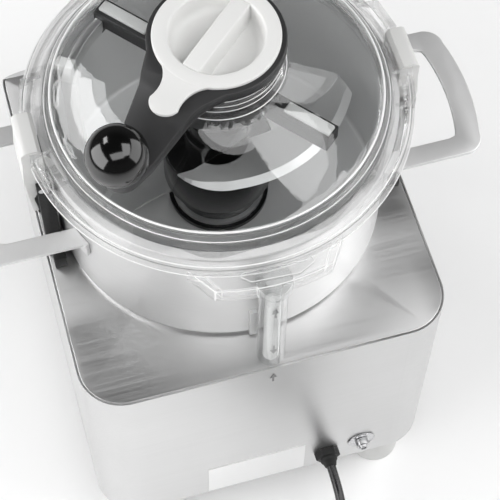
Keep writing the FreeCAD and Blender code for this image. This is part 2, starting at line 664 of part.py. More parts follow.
def build_rotor():
    """Hub with its neck, two crescent blades, drum between them, collar and lock knob."""
    shaft = "shaft_radius + shaft_fit"
    keep(Piece("rotor_hub").revolve([[
        ("hub_bore", "hub_low"), ("hub_foot", "hub_low"), ("hub_foot", "blade_low"),
        ("hub_radius", "blade_low"), ("hub_radius", "blade_high - 4"), ("neck_radius", "blade_high - 4"),
        ("neck_radius", "knob_low"), (shaft, "knob_low"), (shaft, "hub_roof"), ("hub_bore", "hub_roof"),
    ]]).at())
    keep(Piece("blade_spacer").revolve([[
        ("hub_radius", "blade_low + blade_wall"), ("waist_radius", "blade_low + blade_wall"),
        ("waist_radius", "deck + waist_top - 8"), ("drum_radius", "deck + waist_top"),
        ("drum_radius", "blade_high"), ("neck_radius", "blade_high"), ("neck_radius", "blade_high - 4"),
        ("hub_radius", "blade_high - 4"),
    ]]).at())
    keep(crescent("lower_blade", "blade_low", "hub_radius", "180"))
    keep(crescent("upper_blade", "blade_high", "neck_radius", None))
    drum = ring("collar_drum", "neck_radius", "collar_radius", "collar_low", "knob_low")
    shave = box("collar_shave", "100", "50", "60", x="-50 * cos(collar_lean)",
                y="collar_flat - 50 * sin(collar_lean)", z="collar_low - 10", turn="collar_lean")
    keep(cut("blade_collar", drum, shave))
    keep(Piece("lock_knob").revolve([[
        ("0", "knob_low"), ("knob_radius", "knob_low"), ("knob_radius", "knob_low + knob_height - 3"),
        ("knob_radius - 3", "knob_low + knob_height"), ("0", "knob_low + knob_height"),
    ]]).at())


def crescent(name, level, hole, turn):
    """One blade: a crescent that leaves the drum's edge, with a round eye about the hub."""
    blade = Piece(name + "_outline")
    blade.pad("XY_Plane", [[
        ("blade_start", "blade_start_side", "blade_hub_arc", 1),
        ("-blade_heel", "blade_heel_side", "blade_arc", 1),
        ("-blade_reach * cos(7)", "-blade_reach * sin(7)"),
        ("-blade_reach * 0.98 * cos(16)", "-blade_reach * 0.98 * sin(16)", "blade_back_arc", -1),
        ("-18", "collar_flat - 18 * tan(collar_lean)"), ("24", "collar_flat + 24 * tan(collar_lean)"),
    ]], "blade_wall", offset=level)
    if turn:
        place(blade.body, turn=turn)
    eye = cylinder(name + "_eye", f"{hole} + blade_eye - 12", "blade_wall", z=level)
    bore = cylinder(name + "_bore", hole, "blade_wall * 3", z=f"{level} - blade_wall")
    return cut(name, fuse(name + "_solid", blade.body, eye), bore)


def build_lid():
    """Clear lid, its gasket, the rear shelf and the interlock tube with its rod."""
    lid = Piece("lid_dome")
    seat = "lid_seat"
    rise = "(rim_top - bowl_height + 118.8)"
    lid.revolve([[
        ("lid_radius - lid_wall", "rim_top - lid_drop"), ("lid_radius", "rim_top - lid_drop"),
        ("lid_knee_radius", "rim_top + lid_knee"), ("lid_top_radius", "rim_top + lid_top"),
        ("dome_radius", "rim_top + dome_start", "dome_arc", -1),
        ("ledge_radius", "rim_top + ledge_top - 2.7"), ("ledge_radius", "rim_top + ledge_top"),
        ("throat_radius", "rim_top + ledge_top"), ("throat_radius", "throat_end"),
        ("throat_bore", "throat_end"),
        ("throat_bore", "rim_top + ledge_top - 6.2", "dome_arc - lid_wall", 1),
        ("dome_radius - 2.5", "rim_top + dome_start - 4.6"),
        ("lid_top_radius - 3.2", "rim_top + lid_top - 4.2"),
        ("bowl_radius - bowl_wall - 3.6", "rim_top - spigot_depth"),
        ("bowl_radius - bowl_wall - run_gap", "rim_top - spigot_depth"),
        ("bowl_radius - bowl_wall - run_gap", seat), ("bowl_radius + rim_width + 1.5", seat),
        ("lid_radius - lid_wall - 1.5", f"rim_top + 1"),
    ]])
    for level in (1, 2, 3):
        height = f"rim_top + ledge_top + thread_pitch * {level}"
        lid_ridge(lid, height)
    lid.pad("XY_Plane", [lug_outline()], "lug_height - 2.5", offset="rim_top + 2.5")
    lid.mirror("XZ_Plane")
    lid.pad("XY_Plane", [lug_outline("-")], "lug_height - 2.5", offset="rim_top + 2.5")
    lid.mirror("XZ_Plane")
    for sign in ("", "-"):
        lid.pocket("XY_Plane", [[
            (f"{sign}(latch_inner - 0.6)", "-notch_half"), (f"{sign}(lid_radius + 10)", "-notch_half"),
            (f"{sign}(lid_radius + 10)", "notch_half"), (f"{sign}(latch_inner - 0.6)", "notch_half"),
        ]], "lug_height + 20", offset="rim_top + lug_height + 10")
    keep(lid.at())
    keep(ring("lid_gasket", "bowl_radius - bowl_wall + 0.6", "bowl_radius + rim_width", "rim_top", seat))

    shelf = Piece("visor_shelf")
    shelf.pad("XY_Plane", [shelf_outline("shelf_reach", "0")], "shelf_wall",
              offset="rim_top - lid_drop - shelf_wall")
    shelf.pad("XY_Plane", [shelf_outline("shelf_reach", "0")], "shelf_lip",
              offset="rim_top - lid_drop - shelf_lip")
    shelf.pocket("XY_Plane", [shelf_outline("shelf_reach - 3", "20")], "shelf_lip - shelf_wall",
                 offset="rim_top - lid_drop - shelf_wall")
    room = cylinder("tube_room", "tube_collar", "60", y="tube_offset",
                    z="rim_top - lid_drop - shelf_wall - 60")
    keep(cut("visor", shelf.body, room))

    tube = Piece("interlock_tube")
    shelf_low = "rim_top - lid_drop - shelf_wall"
    tube.revolve([[
        ("tube_bore", "deck + tube_gap"), ("tube_radius", "deck + tube_gap"),
        ("tube_radius", "deck + tube_collar_low"), ("tube_collar", "deck + tube_collar_low + tube_flare"),
        ("tube_collar", shelf_low), ("tube_bore", shelf_low),
    ]])
    keep(tube.at(y="tube_offset"))
    keep(cylinder("interlock_rod", "rod_radius", "rod_length", y="tube_offset", z="deck + tube_gap + 1"))


def lid_ridge(lid, height):
    """One ridge of the thread round the lid's throat."""
    lid.revolve([[
        ("throat_radius - 0.5", f"{height} - 1.6"), ("throat_radius", f"{height} - 1.4"),
        ("throat_radius + thread_depth", f"{height} - 0.5"),
        ("throat_radius + thread_depth", f"{height} + 0.5"), ("throat_radius", f"{height} + 1.4"),
        ("throat_radius - 0.5", f"{height} + 1.6"),
    ]])


def lug_outline(sign=""):
    """One lug beside a latch, as seen from above."""
    low = "notch_half + 0.6"
    high = "notch_half + 0.6 + lug_width"
    return [(f"{sign}(dome_radius + 6)", low), (f"{sign}(lid_radius - 2)", low),
            (f"{sign}(lid_radius - 8)", high), (f"{sign}dome_radius", high)]


def shelf_outline(reach, margin):
    """The shelf at the rear of the lid, drawn between the lid's edge and its own round edge."""
    inner = "(lid_radius - lid_wall)"
    near = f"sqrt({inner} ^ 2 - (shelf_half + shelf_taper - {margin} / 2) ^ 2)"
    outer = f"sqrt(({reach}) ^ 2 - (shelf_half - {margin} / 4) ^ 2)"
    wide = f"(shelf_half + shelf_taper - {margin} / 2)"
    tight = f"(shelf_half - {margin} / 4)"
    return [(wide, near), (tight, outer, reach, 1), (f"-{tight}", outer),
            (f"-{wide}", near, inner, -1)]


def build_scraper():
    """Lever, ball knob and the scraper inside the bowl, which turn together."""
    lever = Piece("lever_blank")
    low = "lever_tip_low"
    lever.pad("XY_Plane", [[("0", "0", "lever_radius")]], "lever_top - (lever_low)", offset="lever_low")
    lever.pad("XY_Plane", [[
        ("10", "-lever_root_half - 6"), ("30", "-lever_root_half"), ("56", "-21"),
        ("lever_reach - 18", "-lever_tip_half"), ("lever_reach", "-boss_radius", "boss_radius * 1.02", 1),
        ("lever_reach", "boss_radius"), ("lever_reach - 18", "lever_tip_half"), ("56", "21"),
        ("30", "lever_root_half"), ("10", "lever_root_half + 6"),
    ]], "lever_top - (lever_low) + lever_drop", offset=low)
    lever.pocket("XZ_Plane", [[
        ("0", f"{low} - 10"), ("0", "lever_low"), ("lever_radius", "lever_low"),
        ("lever_reach - 16", low), ("lever_reach + 20", low), ("lever_reach + 20", f"{low} - 10"),
    ]], "lever_radius * 4", middle=True)
    lever.pocket("XZ_Plane", [[
        ("lever_radius + 3", "lever_top + 10"), ("lever_radius + 3", "lever_top"),
        ("lever_reach - 18", f"{low} + boss_height"), ("lever_reach + 20", f"{low} + boss_height"),
        ("lever_reach + 20", "lever_top + 10"),
    ]], "lever_radius * 4", middle=True)
    bore = cylinder("lever_bore", "sleeve_radius", "lever_wall * 10", z="lever_low - lever_wall * 5")
    stud_hole = cylinder("lever_stud_hole", "stud_radius", "boss_height * 3", x="lever_reach",
                         z=f"{low} - boss_height")
    arm = group("lever_arm", cut("lever_flat", lever.body, bore, stud_hole))
    keep(place(arm, turn="lever_angle"))

    at_knob = {"x": "lever_reach * cos(lever_angle)", "y": "lever_reach * sin(lever_angle)"}
    flat = f"{low} + boss_height + 0.3"
    stud = cylinder("knob_stud", "stud_radius", "boss_height + 12", z=low, **at_knob)
    ball = new_object("Part::Sphere", "ball_blank")
    bind(ball, Radius="ball_radius")
    place(ball, z=f"{flat} + sqrt(ball_radius ^ 2 - ball_rise ^ 2)", **at_knob)
    under = box("ball_under", "ball_radius * 2", "ball_radius * 2", "ball_radius",
                x=at_knob["x"] + " - ball_radius", y=at_knob["y"] + " - ball_radius",
                z=f"{flat} - ball_radius")
    keep(fuse("ball_knob", cut("ball_cut", ball, under), stud))

    top = "rim_top + bar_top"
    low = f"{top} - bar_depth"
    depth = "(bar_cheek + strip_width + bar_lip)"
    sleeve = ring("sleeve_ring", "sleeve_bore", "sleeve_radius", "rim_top + sleeve_low", "lever_top")
    legs_ring = ring("legs_ring", "sleeve_bore", "sleeve_radius", low, "rim_top + sleeve_low + 1")
    legs_box = box("legs_box", "sleeve_radius * 2", depth, "bar_depth + 20", x="-sleeve_radius",
                   y=f"-bar_near - {depth}", z=low)
    bar = box("bar_body", "bar_far + bar_short", depth, "bar_depth", x="-bar_short",
              y=f"-bar_near - {depth}", z=low)
    slots = []
    strips = []
    long_strip = "(bar_far - sleeve_radius) * strip_share"
    short_strip = "(bar_short - sleeve_radius) * stub_share"
    kinds = (("slot", "bar_depth", slots), ("strip", "bar_depth - bar_floor + strip_rise", strips))
    for side, start, span in (("far", f"bar_far - bar_lip - {long_strip}", long_strip),
                              ("near", "bar_lip - bar_short", short_strip)):
        for name, rise, found in kinds:
            found.append(box(f"{side}_{name}", span, "strip_width", rise, x=start,
                             y="-bar_near - bar_cheek - strip_width", z=f"{low} + bar_floor"))
    hole = cylinder("bar_hole", "sleeve_bore", "bar_depth * 4", z=f"{top} - bar_depth * 3")
    arm = fuse("bar_arm", cut("bar_channel", bar, *slots), common("bar_legs", legs_ring, legs_box))
    turned_arm = group("bar_turned", cut("bar_bored", arm, hole))
    place(turned_arm, turn="bar_angle")
    link_low = "rim_top - spigot_depth - 1.5"
    link = ring("link_ring", "wiper_outer - wiper_width", "wiper_outer - wiper_width + link_wall",
                link_low, "rim_top + 4")
    sector = cylinder("link_sector", "bowl_radius", "60", z="rim_top - 30", turn="wiper_angle - link_span")
    bind(sector, Angle="link_span + 3")
    keep(fuse("scraper_carrier", sleeve, turned_arm, common("link_arc", link, sector)))
    strips = group("bar_wipers", *strips)
    keep(place(strips, turn="bar_angle"))

    wiper = Piece("wall_wiper")
    wiper.pad("XY_Plane", [[
        ("wiper_outer - wiper_width", "0"), ("wiper_outer - 2", "-1"), ("wiper_outer", "1"),
        ("wiper_outer - wiper_width", "wiper_wall"),
    ]], f"{link_low} - (deck) - wiper_low", offset="deck + wiper_low")
    keep(wiper.at(turn="wiper_angle"))


def build_cap():
    """The white cap that closes the filling hole."""
    low = "lever_top + run_gap"
    top = "lever_top + run_gap + cap_rim"
    wall = "sleeve_bore - run_gap"
    cap = Piece("cap")
    cap.revolve([[
        ("0", f"{top} - cap_depth - cap_skin"), (wall, f"{top} - cap_depth - cap_skin"), (wall, low),
        ("cap_radius", low), ("cap_radius", f"{top} - 1"), ("cap_radius - 1", top), ("cap_bore", top),
        ("cap_bore - 1.5", f"{top} - cap_depth"), ("0", f"{top} - cap_depth"),
    ]])
    cap.pad("XY_Plane", [[
        ("-cap_bore - 0.5", "-grip_half"), ("cap_bore + 0.5", "-grip_half"),
        ("cap_bore + 0.5", "grip_half"), ("-cap_bore - 0.5", "grip_half"),
    ]], "cap_depth", offset=f"{top} - cap_depth")
    cap.pad("XY_Plane", [[
        ("cap_radius * 0.82", "-tab_half - 8"), ("cap_radius + 6", "-tab_half + 1"),
        ("tab_reach", "-tab_radius", "tab_radius * 1.02", 1), ("tab_reach", "tab_radius"),
        ("cap_radius + 6", "tab_half - 1"), ("cap_radius * 0.82", "tab_half + 8"),
    ]], "cap_rim", offset=low)
    keep(cap.at(turn="grip_angle"))


def build_latches():
    """The two side latches: channel post, rocker, pin and spring."""
    post = Piece("post_blank")
    web_top = "latch_pin_level - 13"
    post.pad("XY_Plane", [[
        ("post_inner", "-post_half"), ("post_outer", "-post_half"), ("post_outer", "-notch_half"),
        ("post_inner + latch_web", "-notch_half"), ("post_inner + latch_web", "notch_half"),
        ("post_outer", "notch_half"), ("post_outer", "post_half"), ("post_inner", "post_half"),
    ]], web_top, offset="deck")
    for low, high in (("-post_half", "-notch_half"), ("notch_half", "post_half")):
        post.pad("XY_Plane", [[
            ("post_inner", low), ("post_outer", low), ("post_outer", high), ("post_inner", high),
        ]], "post_height", offset="deck")
    for low, high in (("-base_half", "-post_half"), ("post_half", "base_half")):
        post.pad("XY_Plane", [[
            ("post_inner", low), ("post_outer - 2", low), ("post_outer - 2", high), ("post_inner", high),
        ]], "base_height", offset="deck")
    base_left = cut("latch_base_left", post.body, along_pin("post_bore", "latch_pin_radius", "post_half"))

    clip = Piece("clip_blank")
    clip.pad("XZ_Plane", [[
        ("post_outer + 0.4", "deck + latch_low"), ("post_outer + 0.4 + latch_strap", "deck + latch_low"),
        ("latch_outer + latch_bulge * 0.3", "deck + post_height + 3"),
        ("latch_outer - 1", "rim_top - 3"), ("latch_outer - 1", "rim_top + latch_top - 4.5", "4.8", 1),
        ("latch_outer - 5.5", "rim_top + latch_top"), ("latch_inner + 2.5", "rim_top + latch_top"),
        ("latch_inner", "rim_top + latch_top - 3"), ("latch_inner", "deck + latch_pin_level - 7"),
        ("post_outer - 1", "deck + latch_pin_level - 7"),
        ("post_outer + 2.4", "deck + latch_pin_level - 14"),
    ]], "latch_half * 2", middle=True)
    clip.pocket("XZ_Plane", [[
        ("latch_inner - 5", "deck + latch_pin_level - 20"),
        ("latch_outer - 5.5", "deck + latch_pin_level - 20"),
        ("latch_outer - latch_strap", "deck + post_height"),
        ("latch_outer - latch_strap - 1", "rim_top - 6"),
        ("latch_inner - 5", "rim_top - 6"),
    ]], "(latch_half - latch_cheek) * 2", middle=True)
    clip_left = cut("latch_clip_left", clip.body,
                    along_pin("clip_bore", "latch_pin_radius + shaft_fit", "post_half"))
    for part in (base_left, clip_left):
        keep(part, mirrored(part.Name.replace("left", "right"), part))
    pin = along_pin("latch_pin", "latch_pin_radius", "post_half")
    keep(group("latch_pins", pin, mirrored("latch_pin_far", pin)))
    spring = cut("latch_spring", along_pin("spring_blank", "spring_radius", "spring_half"),
                 along_pin("spring_bore", "latch_pin_radius", "spring_half"))
    keep(group("latch_springs", spring, mirrored("latch_spring_far", spring)))


def along_pin(name, radius, half):
    """A cylinder about the axis of the left latch's pin."""
    return cylinder(name, radius, f"({half}) * 2", x="latch_pin_x", y=half,
                    z="deck + latch_pin_level", turn="90", axis=(1, 0, 0))


def build_rear():
    """Data plate, cable gland and earth terminal on the rear face."""
    keep(box("data_plate", "plate_width", "plate_wall", "plate_height", x="plate_side - plate_width / 2",
             y="housing_rear", z="deck - plate_level - plate_height / 2"))
    across = {"turn": "-90", "axis": (1, 0, 0)}
    gland = {"x": "-gland_side", "z": "deck - gland_level"}
    nut = hexagon("gland_hex", "gland_nut / 2", "gland_length", y="housing_rear", **gland, **across)
    hole = cylinder("gland_nut_hole", "gland_body - 1", "gland_length", y="housing_rear", **gland, **across)
    keep(cut("gland_nut", nut, hole))
    body = cylinder("gland_barrel", "gland_body - 1", "gland_length + sheet_wall + 12",
                    y="housing_rear - sheet_wall - 12", **gland, **across)
    inner_nut = hexagon("gland_back", "gland_nut / 2", "5", y="housing_rear - sheet_wall - 5", **gland,
                        **across)
    bore = cylinder("gland_bore", "cable_radius", "gland_length + sheet_wall + 12",
                    y="housing_rear - sheet_wall - 12", **gland, **across)
    keep(cut("cable_gland", fuse("gland_solid", body, inner_nut), bore))
    post = {"x": "-terminal_side", "z": "deck - terminal_level"}
    washer = cylinder("washer_blank", "washer_radius", "washer_wall", y="housing_rear", **post, **across)
    washer_hole = cylinder("washer_hole", "post_hole", "washer_wall", y="housing_rear", **post, **across)
    keep(cut("terminal_washer", washer, washer_hole))
    stem = cylinder("terminal_stem", "post_hole", "sheet_wall + washer_wall + 8",
                    y="housing_rear - sheet_wall - 8", **post, **across)
    head = cylinder("terminal_head", "post_radius", "post_length - washer_wall",
                    y="housing_rear + washer_wall", **post, **across)
    dimple = cylinder("terminal_dimple", "post_hole", "4", y="housing_rear + post_length - 4", **post,
                      **across)
    keep(cut("terminal_post", fuse("terminal_solid", stem, head), dimple))


def build_buttons():
    """Three push buttons in collars on the sloping panel, with their contact blocks behind it."""
    collars = []
    blocks = []
    for name, column in BUTTONS.items():
        keep(tilted_cylinder(name + "_button", "button_radius", "button_height + button_travel",
                             column, "button_rise - button_height"))
        outer = tilted_cylinder("collar_outer_" + name, "collar_ring", "collar_wall", column, "0")
        inner = tilted_cylinder("collar_inner_" + name, "button_radius + button_fit", "collar_wall",
                                column, "0")
        collars.append(cut("collar_" + name, outer, inner))
        depth = "button_rise - button_height - button_travel - button_fit"
        block = tilted_cylinder("block_outer_" + name, "collar_ring - 1", "block_depth", column,
                                "-deck_wall - block_depth")
        room = tilted_cylinder("block_room_" + name, "button_radius + button_fit", "20", column, depth)
        blocks.append(cut("block_" + name, block, room))
    keep(group("button_collars", *collars), group("contact_blocks", *blocks))


ROUTE = [
    ("-gland_side", "housing_rear + gland_length", "deck - gland_level"),
    ("-gland_side", "housing_rear + gland_length + 13.5", "deck - gland_level"),
    ("-gland_side + 0.5", "housing_rear + gland_length + 29", "deck - gland_level - 4"),
    ("-gland_side + 2", "housing_rear + gland_length + 43", "deck - gland_level - 14"),
    ("-gland_side + 4", "housing_rear + gland_length + 54.5", "(deck - gland_level) / 2 + 1"),
    ("coil_x - 3.5", "coil_y - 90", "cable_radius + 13.75"),
    ("coil_x + 1.5", "coil_y - 76", "cable_radius + 3.75"),
    ("coil_x + 9", "coil_y - 61.5", "cable_radius + 0.25"),
    ("coil_x + 18", "coil_y - 47.5", "cable_radius + 0.25"),
    ("coil_x + 30", "coil_y - 38.5", "cable_radius + 0.25"),
]


def rounded_wire(points):
    """Straight runs joined by tangent arcs; prints the arcs' radii."""
    edges = []
    start = points[0]
    radii = []
    for before, corner, after in zip(points, points[1:], points[2:]):
        first = corner - before
        second = after - corner
        turn = first.getAngle(second)
        trim = 0.45 * min(first.Length, second.Length)
        radius = trim / math.tan(turn / 2)
        radii.append(round(radius, 1))
        enter = corner - first.normalize() * trim
        leave = corner + second.normalize() * trim
        inward = (leave - corner).normalize() + (enter - corner).normalize()
        centre = corner + inward.normalize() * math.hypot(trim, radius)
        middle = centre + (corner - centre).normalize() * radius
        edges.append(Part.LineSegment(start, enter).toShape())
        edges.append(Part.Arc(enter, middle, leave).toShape())
        start = leave
    edges.append(Part.LineSegment(start, points[-1]).toShape())
    print("cable arc radii", radii)
    return Part.Wire(edges)


def build_cable():
    """The cable outside the machine: its free run, the put-away coil and the plug."""
    radius = number("cable_radius")
    points = [FreeCAD.Vector(*[number(text) for text in row]) for row in ROUTE]
    path = rounded_wire(points)
    circle = Part.Circle(points[0], points[1] - points[0], radius)
    section = Part.Wire([circle.toShape()])
    run = new_object("Part::Feature", "cable_run")
    run.Shape = path.makePipeShell([section], True, False)
    length = path.Length
    share = run.Shape.Volume / (math.pi * radius ** 2 * length)
    print("cable run %.0f long, volume ratio %.4f" % (length, share))
    keep(run)
    spread = "coil_step + cable_radius"
    coil = Piece("cable_coil")
    coil.revolve([[
        (f"coil_mid - ({spread})", "1"), (f"coil_mid - ({spread}) + 1", "0"),
        (f"coil_mid + {spread} - 1", "0"), (f"coil_mid + {spread}", "1"),
        (f"coil_mid + {spread}", "coil_step * 2 - 1"), (f"coil_mid + {spread} - 1", "coil_step * 2"),
        (f"coil_mid - ({spread}) + 1", "coil_step * 2"), (f"coil_mid - ({spread})", "coil_step * 2 - 1"),
    ]])
    keep(coil.at(x="coil_x", y="coil_y"))
    lying = {"turn": "-90", "axis": (1, 0, 0)}
    side = "coil_x + coil_mid + coil_step"
    ahead = "coil_y + 14"
    grip = cylinder("plug_grip", "plug_radius", "plug_length", x=side, y=f"{ahead} + 14",
                    z="plug_radius", **lying)
    neck = new_object("Part::Cone", "plug_neck")
    bind(neck, Radius1="cable_radius + 1.5", Radius2="plug_radius * 0.6", Height="14")
    place(neck, x=side, y=ahead, z="plug_radius", **lying)
    pins = [cylinder("plug_pin_%d" % index, "pin_radius", "pin_length",
                     x=f"{side} + {sign} * pin_pitch / 2", y=f"{ahead} + 14 + plug_length",
                     z="plug_radius", **lying) for index, sign in enumerate((-1, 1))]
    keep(fuse("plug", grip, neck, *pins))


def check_and_write():
    """Checks every object and writes each sub-part to its own file."""
    document.recompute()
    faults = ["%s %s" % (thing.Label, thing.State) for thing in document.Objects
              if "Invalid" in thing.State or "Error" in thing.State]
    if faults:
        raise RuntimeError("not up to date: " + ", ".join(faults))
    os.makedirs("parts", exist_ok=True)
    for thing in NODES:
        shape = thing.Shape
        if shape.isNull() or not shape.isValid() or not shape.Solids:
            raise RuntimeError("%s has no valid solid" % thing.Label)
        shape.exportStep("parts/%s.step" % thing.Label)
        print("%-20s %d solids %10.0f mm3" % (thing.Label, len(shape.Solids), shape.Volume))
    print(len(NODES), "nodes")


fill_sheet()
build_housing()
build_feet()
build_drive()
build_electrics()
build_bowl()
build_rotor()
build_lid()
build_scraper()
build_cap()
build_latches()
build_rear()
build_buttons()
build_cable()
check_and_write()
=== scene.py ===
"""Looks of a table-top bowl cutter: pieces, finishes, cable, camera and light around the CAD frame."""

import json
import logging
import math
from dataclasses import dataclass
from enum import Enum
from typing import Callable, Sequence

import bmesh
import bpy
from mathutils import Matrix, Vector

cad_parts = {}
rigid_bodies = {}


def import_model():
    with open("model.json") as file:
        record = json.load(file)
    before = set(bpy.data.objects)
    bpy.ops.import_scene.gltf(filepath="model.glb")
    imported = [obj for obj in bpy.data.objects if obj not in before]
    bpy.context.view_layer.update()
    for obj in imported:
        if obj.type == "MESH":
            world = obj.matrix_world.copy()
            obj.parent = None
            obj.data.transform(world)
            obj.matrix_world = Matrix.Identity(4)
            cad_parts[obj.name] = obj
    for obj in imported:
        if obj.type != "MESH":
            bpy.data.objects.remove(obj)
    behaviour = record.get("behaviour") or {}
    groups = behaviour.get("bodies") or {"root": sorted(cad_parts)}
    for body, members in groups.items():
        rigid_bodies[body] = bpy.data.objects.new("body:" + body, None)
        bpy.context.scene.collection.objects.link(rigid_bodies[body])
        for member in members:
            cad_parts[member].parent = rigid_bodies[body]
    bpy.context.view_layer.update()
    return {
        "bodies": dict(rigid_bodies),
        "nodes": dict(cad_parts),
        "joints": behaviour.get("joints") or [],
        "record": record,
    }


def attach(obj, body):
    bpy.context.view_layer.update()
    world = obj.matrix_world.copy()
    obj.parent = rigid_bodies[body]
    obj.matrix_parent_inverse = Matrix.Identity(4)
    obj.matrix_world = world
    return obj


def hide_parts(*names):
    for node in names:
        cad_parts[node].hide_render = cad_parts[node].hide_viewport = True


LOG = logging.getLogger("scene")
MM = 0.001
PLATE = 253.0
RIM = PLATE + 121.5
Point = tuple[float, float]


class Slot(Enum):
    """Material slots of the record."""

    SHEET = "sheet_steel"
    BOWL = "bowl_steel"
    BLADE = "blade_steel"
    SHAFT = "shaft_steel"
    ALLOY = "motor_alloy"
    IRON = "motor_iron"
    FOOT = "foot_rubber"
    SEAL = "seal_rubber"
    CLEAR = "clear_plastic"
    WHITE = "white_plastic"
    GREY = "grey_plastic"
    LEVER = "lever_plastic"
    HUB = "hub_plastic"
    BALL = "ball_plastic"
    BLACK = "black_plastic"
    CABLE = "cable_plastic"
    BRASS = "brass_metal"
    BOARD = "board_green"
    START = "green_button"
    STOP = "red_button"
    PULSE = "black_button"
    PLATE = "plate_metal"


class Way(Enum):
    """Direction in which a metal's grain runs."""

    ALONG_X = (6.0, 900.0, 900.0)
    ALONG_Z = (500.0, 500.0, 7.0)
    ROUND = (60.0, 60.0, 900.0)
    CAST = (240.0, 240.0, 240.0)


def node(tree: bpy.types.NodeTree, kind: str, **values: float | Sequence[float]) -> bpy.types.Node:
    """Adds a shader node and sets its inputs.

    Args:
        tree: the node tree.
        kind: the node's type, without the prefix that all have.
        values: input values; an underscore stands for a space in the input's name.

    Returns:
        The node.
    """
    made = tree.nodes.new("ShaderNode" + kind)
    for name, value in values.items():
        made.inputs[name.replace("_", " ")].default_value = value
    return made


def join(tree: bpy.types.NodeTree, *links: tuple[bpy.types.Node, str, bpy.types.Node, str | int]) -> None:
    """Links nodes.

    Args:
        tree: the node tree.
        links: each a node, its output, the next node and that one's input.
    """
    for source, output, target, entry in links:
        tree.links.new(source.outputs[output], target.inputs[entry])


@dataclass(frozen=True)
class Finish:
    """One procedural finish.

    Args:
        name: name of the material.
        color: base colour, linear.
        roughness: mean roughness.
        spread: how far noise moves the roughness up and down.
        grain: noise scale along the three axes, per metre.
        bump: height of the grain in metres.
        tint: how far large patches darken the colour.
        edge: radius in metres over which sharp edges catch light.
        patch: scale of the large patches, per metre.
    """

    name: str
    color: tuple[float, float, float]
    roughness: float = 0.4
    spread: float = 0.06
    grain: tuple[float, float, float] = (900.0, 900.0, 900.0)
    bump: float = 0.00002
    tint: float = 0.06
    edge: float = 0.0006
    patch: float = 14.0

    def shader(self, tree: bpy.types.NodeTree) -> bpy.types.Node:
        """Returns the surface shader with its constant values set."""
        return node(tree, "BsdfPrincipled", Roughness=self.roughness, Base_Color=(*self.color, 1))

    def make(self) -> bpy.types.Material:
        """Builds the material once and returns it.

        Returns:
            The material.
        """
        known = bpy.data.materials.get(self.name)
        if known:
            return known
        material = bpy.data.materials.new(self.name)
        material.use_nodes = True
        tree = material.node_tree
        tree.nodes.clear()
        out = node(tree, "OutputMaterial")
        bsdf = self.shader(tree)
        place = node(tree, "TexCoord")
        stretch = node(tree, "Mapping", Scale=self.grain)
        fine = node(tree, "TexNoise", Scale=1.0, Detail=3.0)
        span = node(tree, "MapRange", From_Min=0.3, From_Max=0.7,
                    To_Min=max(self.roughness - self.spread, 0.02), To_Max=self.roughness + self.spread)
        patches = node(tree, "TexNoise", Scale=self.patch)
        blend = node(tree, "Mix")
        blend.data_type = "RGBA"
        blend.inputs["A"].default_value = (*(c * (1 - self.tint) for c in self.color), 1)
        blend.inputs["B"].default_value = (*(min(c * (1 + self.tint * 0.5), 1) for c in self.color), 1)
        bump = node(tree, "Bump", Distance=self.bump, Strength=1.0)
        join(tree, (place, "Object", stretch, "Vector"), (stretch, "Vector", fine, "Vector"),
             (fine, "Fac", span, "Value"), (span, "Result", bsdf, "Roughness"),
             (place, "Object", patches, "Vector"), (patches, "Fac", blend, "Factor"),
             (blend, "Result", bsdf, "Base Color"), (fine, "Fac", bump, "Height"),
             (bump, "Normal", bsdf, "Normal"))
        if self.edge:
            rounding = node(tree, "Bevel", Radius=self.edge)
            rounding.samples = 4
            join(tree, (rounding, "Normal", bump, "Normal"))
        self.close(tree, bsdf, out)
        return material

    def close(self, tree: bpy.types.NodeTree, bsdf: bpy.types.Node, out: bpy.types.Node) -> None:
        """Joins the shader to the output."""
        join(tree, (bsdf, "BSDF", out, "Surface"))


@dataclass(frozen=True)
class Metal(Finish):
    """Bare metal with a directed grain."""

    streak: float = 0.0
    metal: float = 1.0

    def shader(self, tree: bpy.types.NodeTree) -> bpy.types.Node:
        """Returns a metallic shader.

        Args:
            tree: the material's node tree.

        Returns:
            The Principled node.
        """
        bsdf = super().shader(tree)
        bsdf.inputs["Metallic"].default_value = self.metal
        bsdf.inputs["Anisotropic"].default_value = self.streak
        return bsdf


@dataclass(frozen=True)
class Plastic(Finish):
    """Moulded plastic or rubber."""

    specular: float = 0.5
    coat: float = 0.0

    def shader(self, tree: bpy.types.NodeTree) -> bpy.types.Node:
        """Returns a dielectric shader with an optional polish.

        Args:
            tree: the material's node tree.

        Returns:
            The Principled node.
        """
        bsdf = super().shader(tree)
        bsdf.inputs["Specular IOR Level"].default_value = self.specular
        bsdf.inputs["Coat Weight"].default_value = self.coat
        bsdf.inputs["Coat Roughness"].default_value = 0.05
        return bsdf


@dataclass(frozen=True)
class Film(Finish):
    """Thin clear wall that lets light straight through, but for a mirror share that grows at flat angles."""

    mirror: float = 0.07
    steepness: float = 5.0

    def close(self, tree: bpy.types.NodeTree, bsdf: bpy.types.Node, out: bpy.types.Node) -> None:
        """Mixes a clear film with reflection by angle.

        Args:
            tree: the node tree.
            bsdf: the surface shader; not used.
            out: the output node.
        """
        through = node(tree, "BsdfTransparent", Color=(*self.color, 1))
        gloss = node(tree, "BsdfGlossy", Roughness=self.roughness)
        facing = node(tree, "LayerWeight", Blend=0.5)
        steep = node(tree, "Math")
        steep.operation = "POWER"
        steep.inputs[1].default_value = self.steepness
        share = node(tree, "MapRange", To_Min=self.mirror)
        mix = node(tree, "MixShader")
        join(tree, (facing, "Facing", steep, 0), (steep, "Value", share, "Value"),
             (share, "Result", mix, "Fac"), (through, "BSDF", mix, 1), (gloss, "BSDF", mix, 2),
             (mix, "Shader", out, "Surface"))


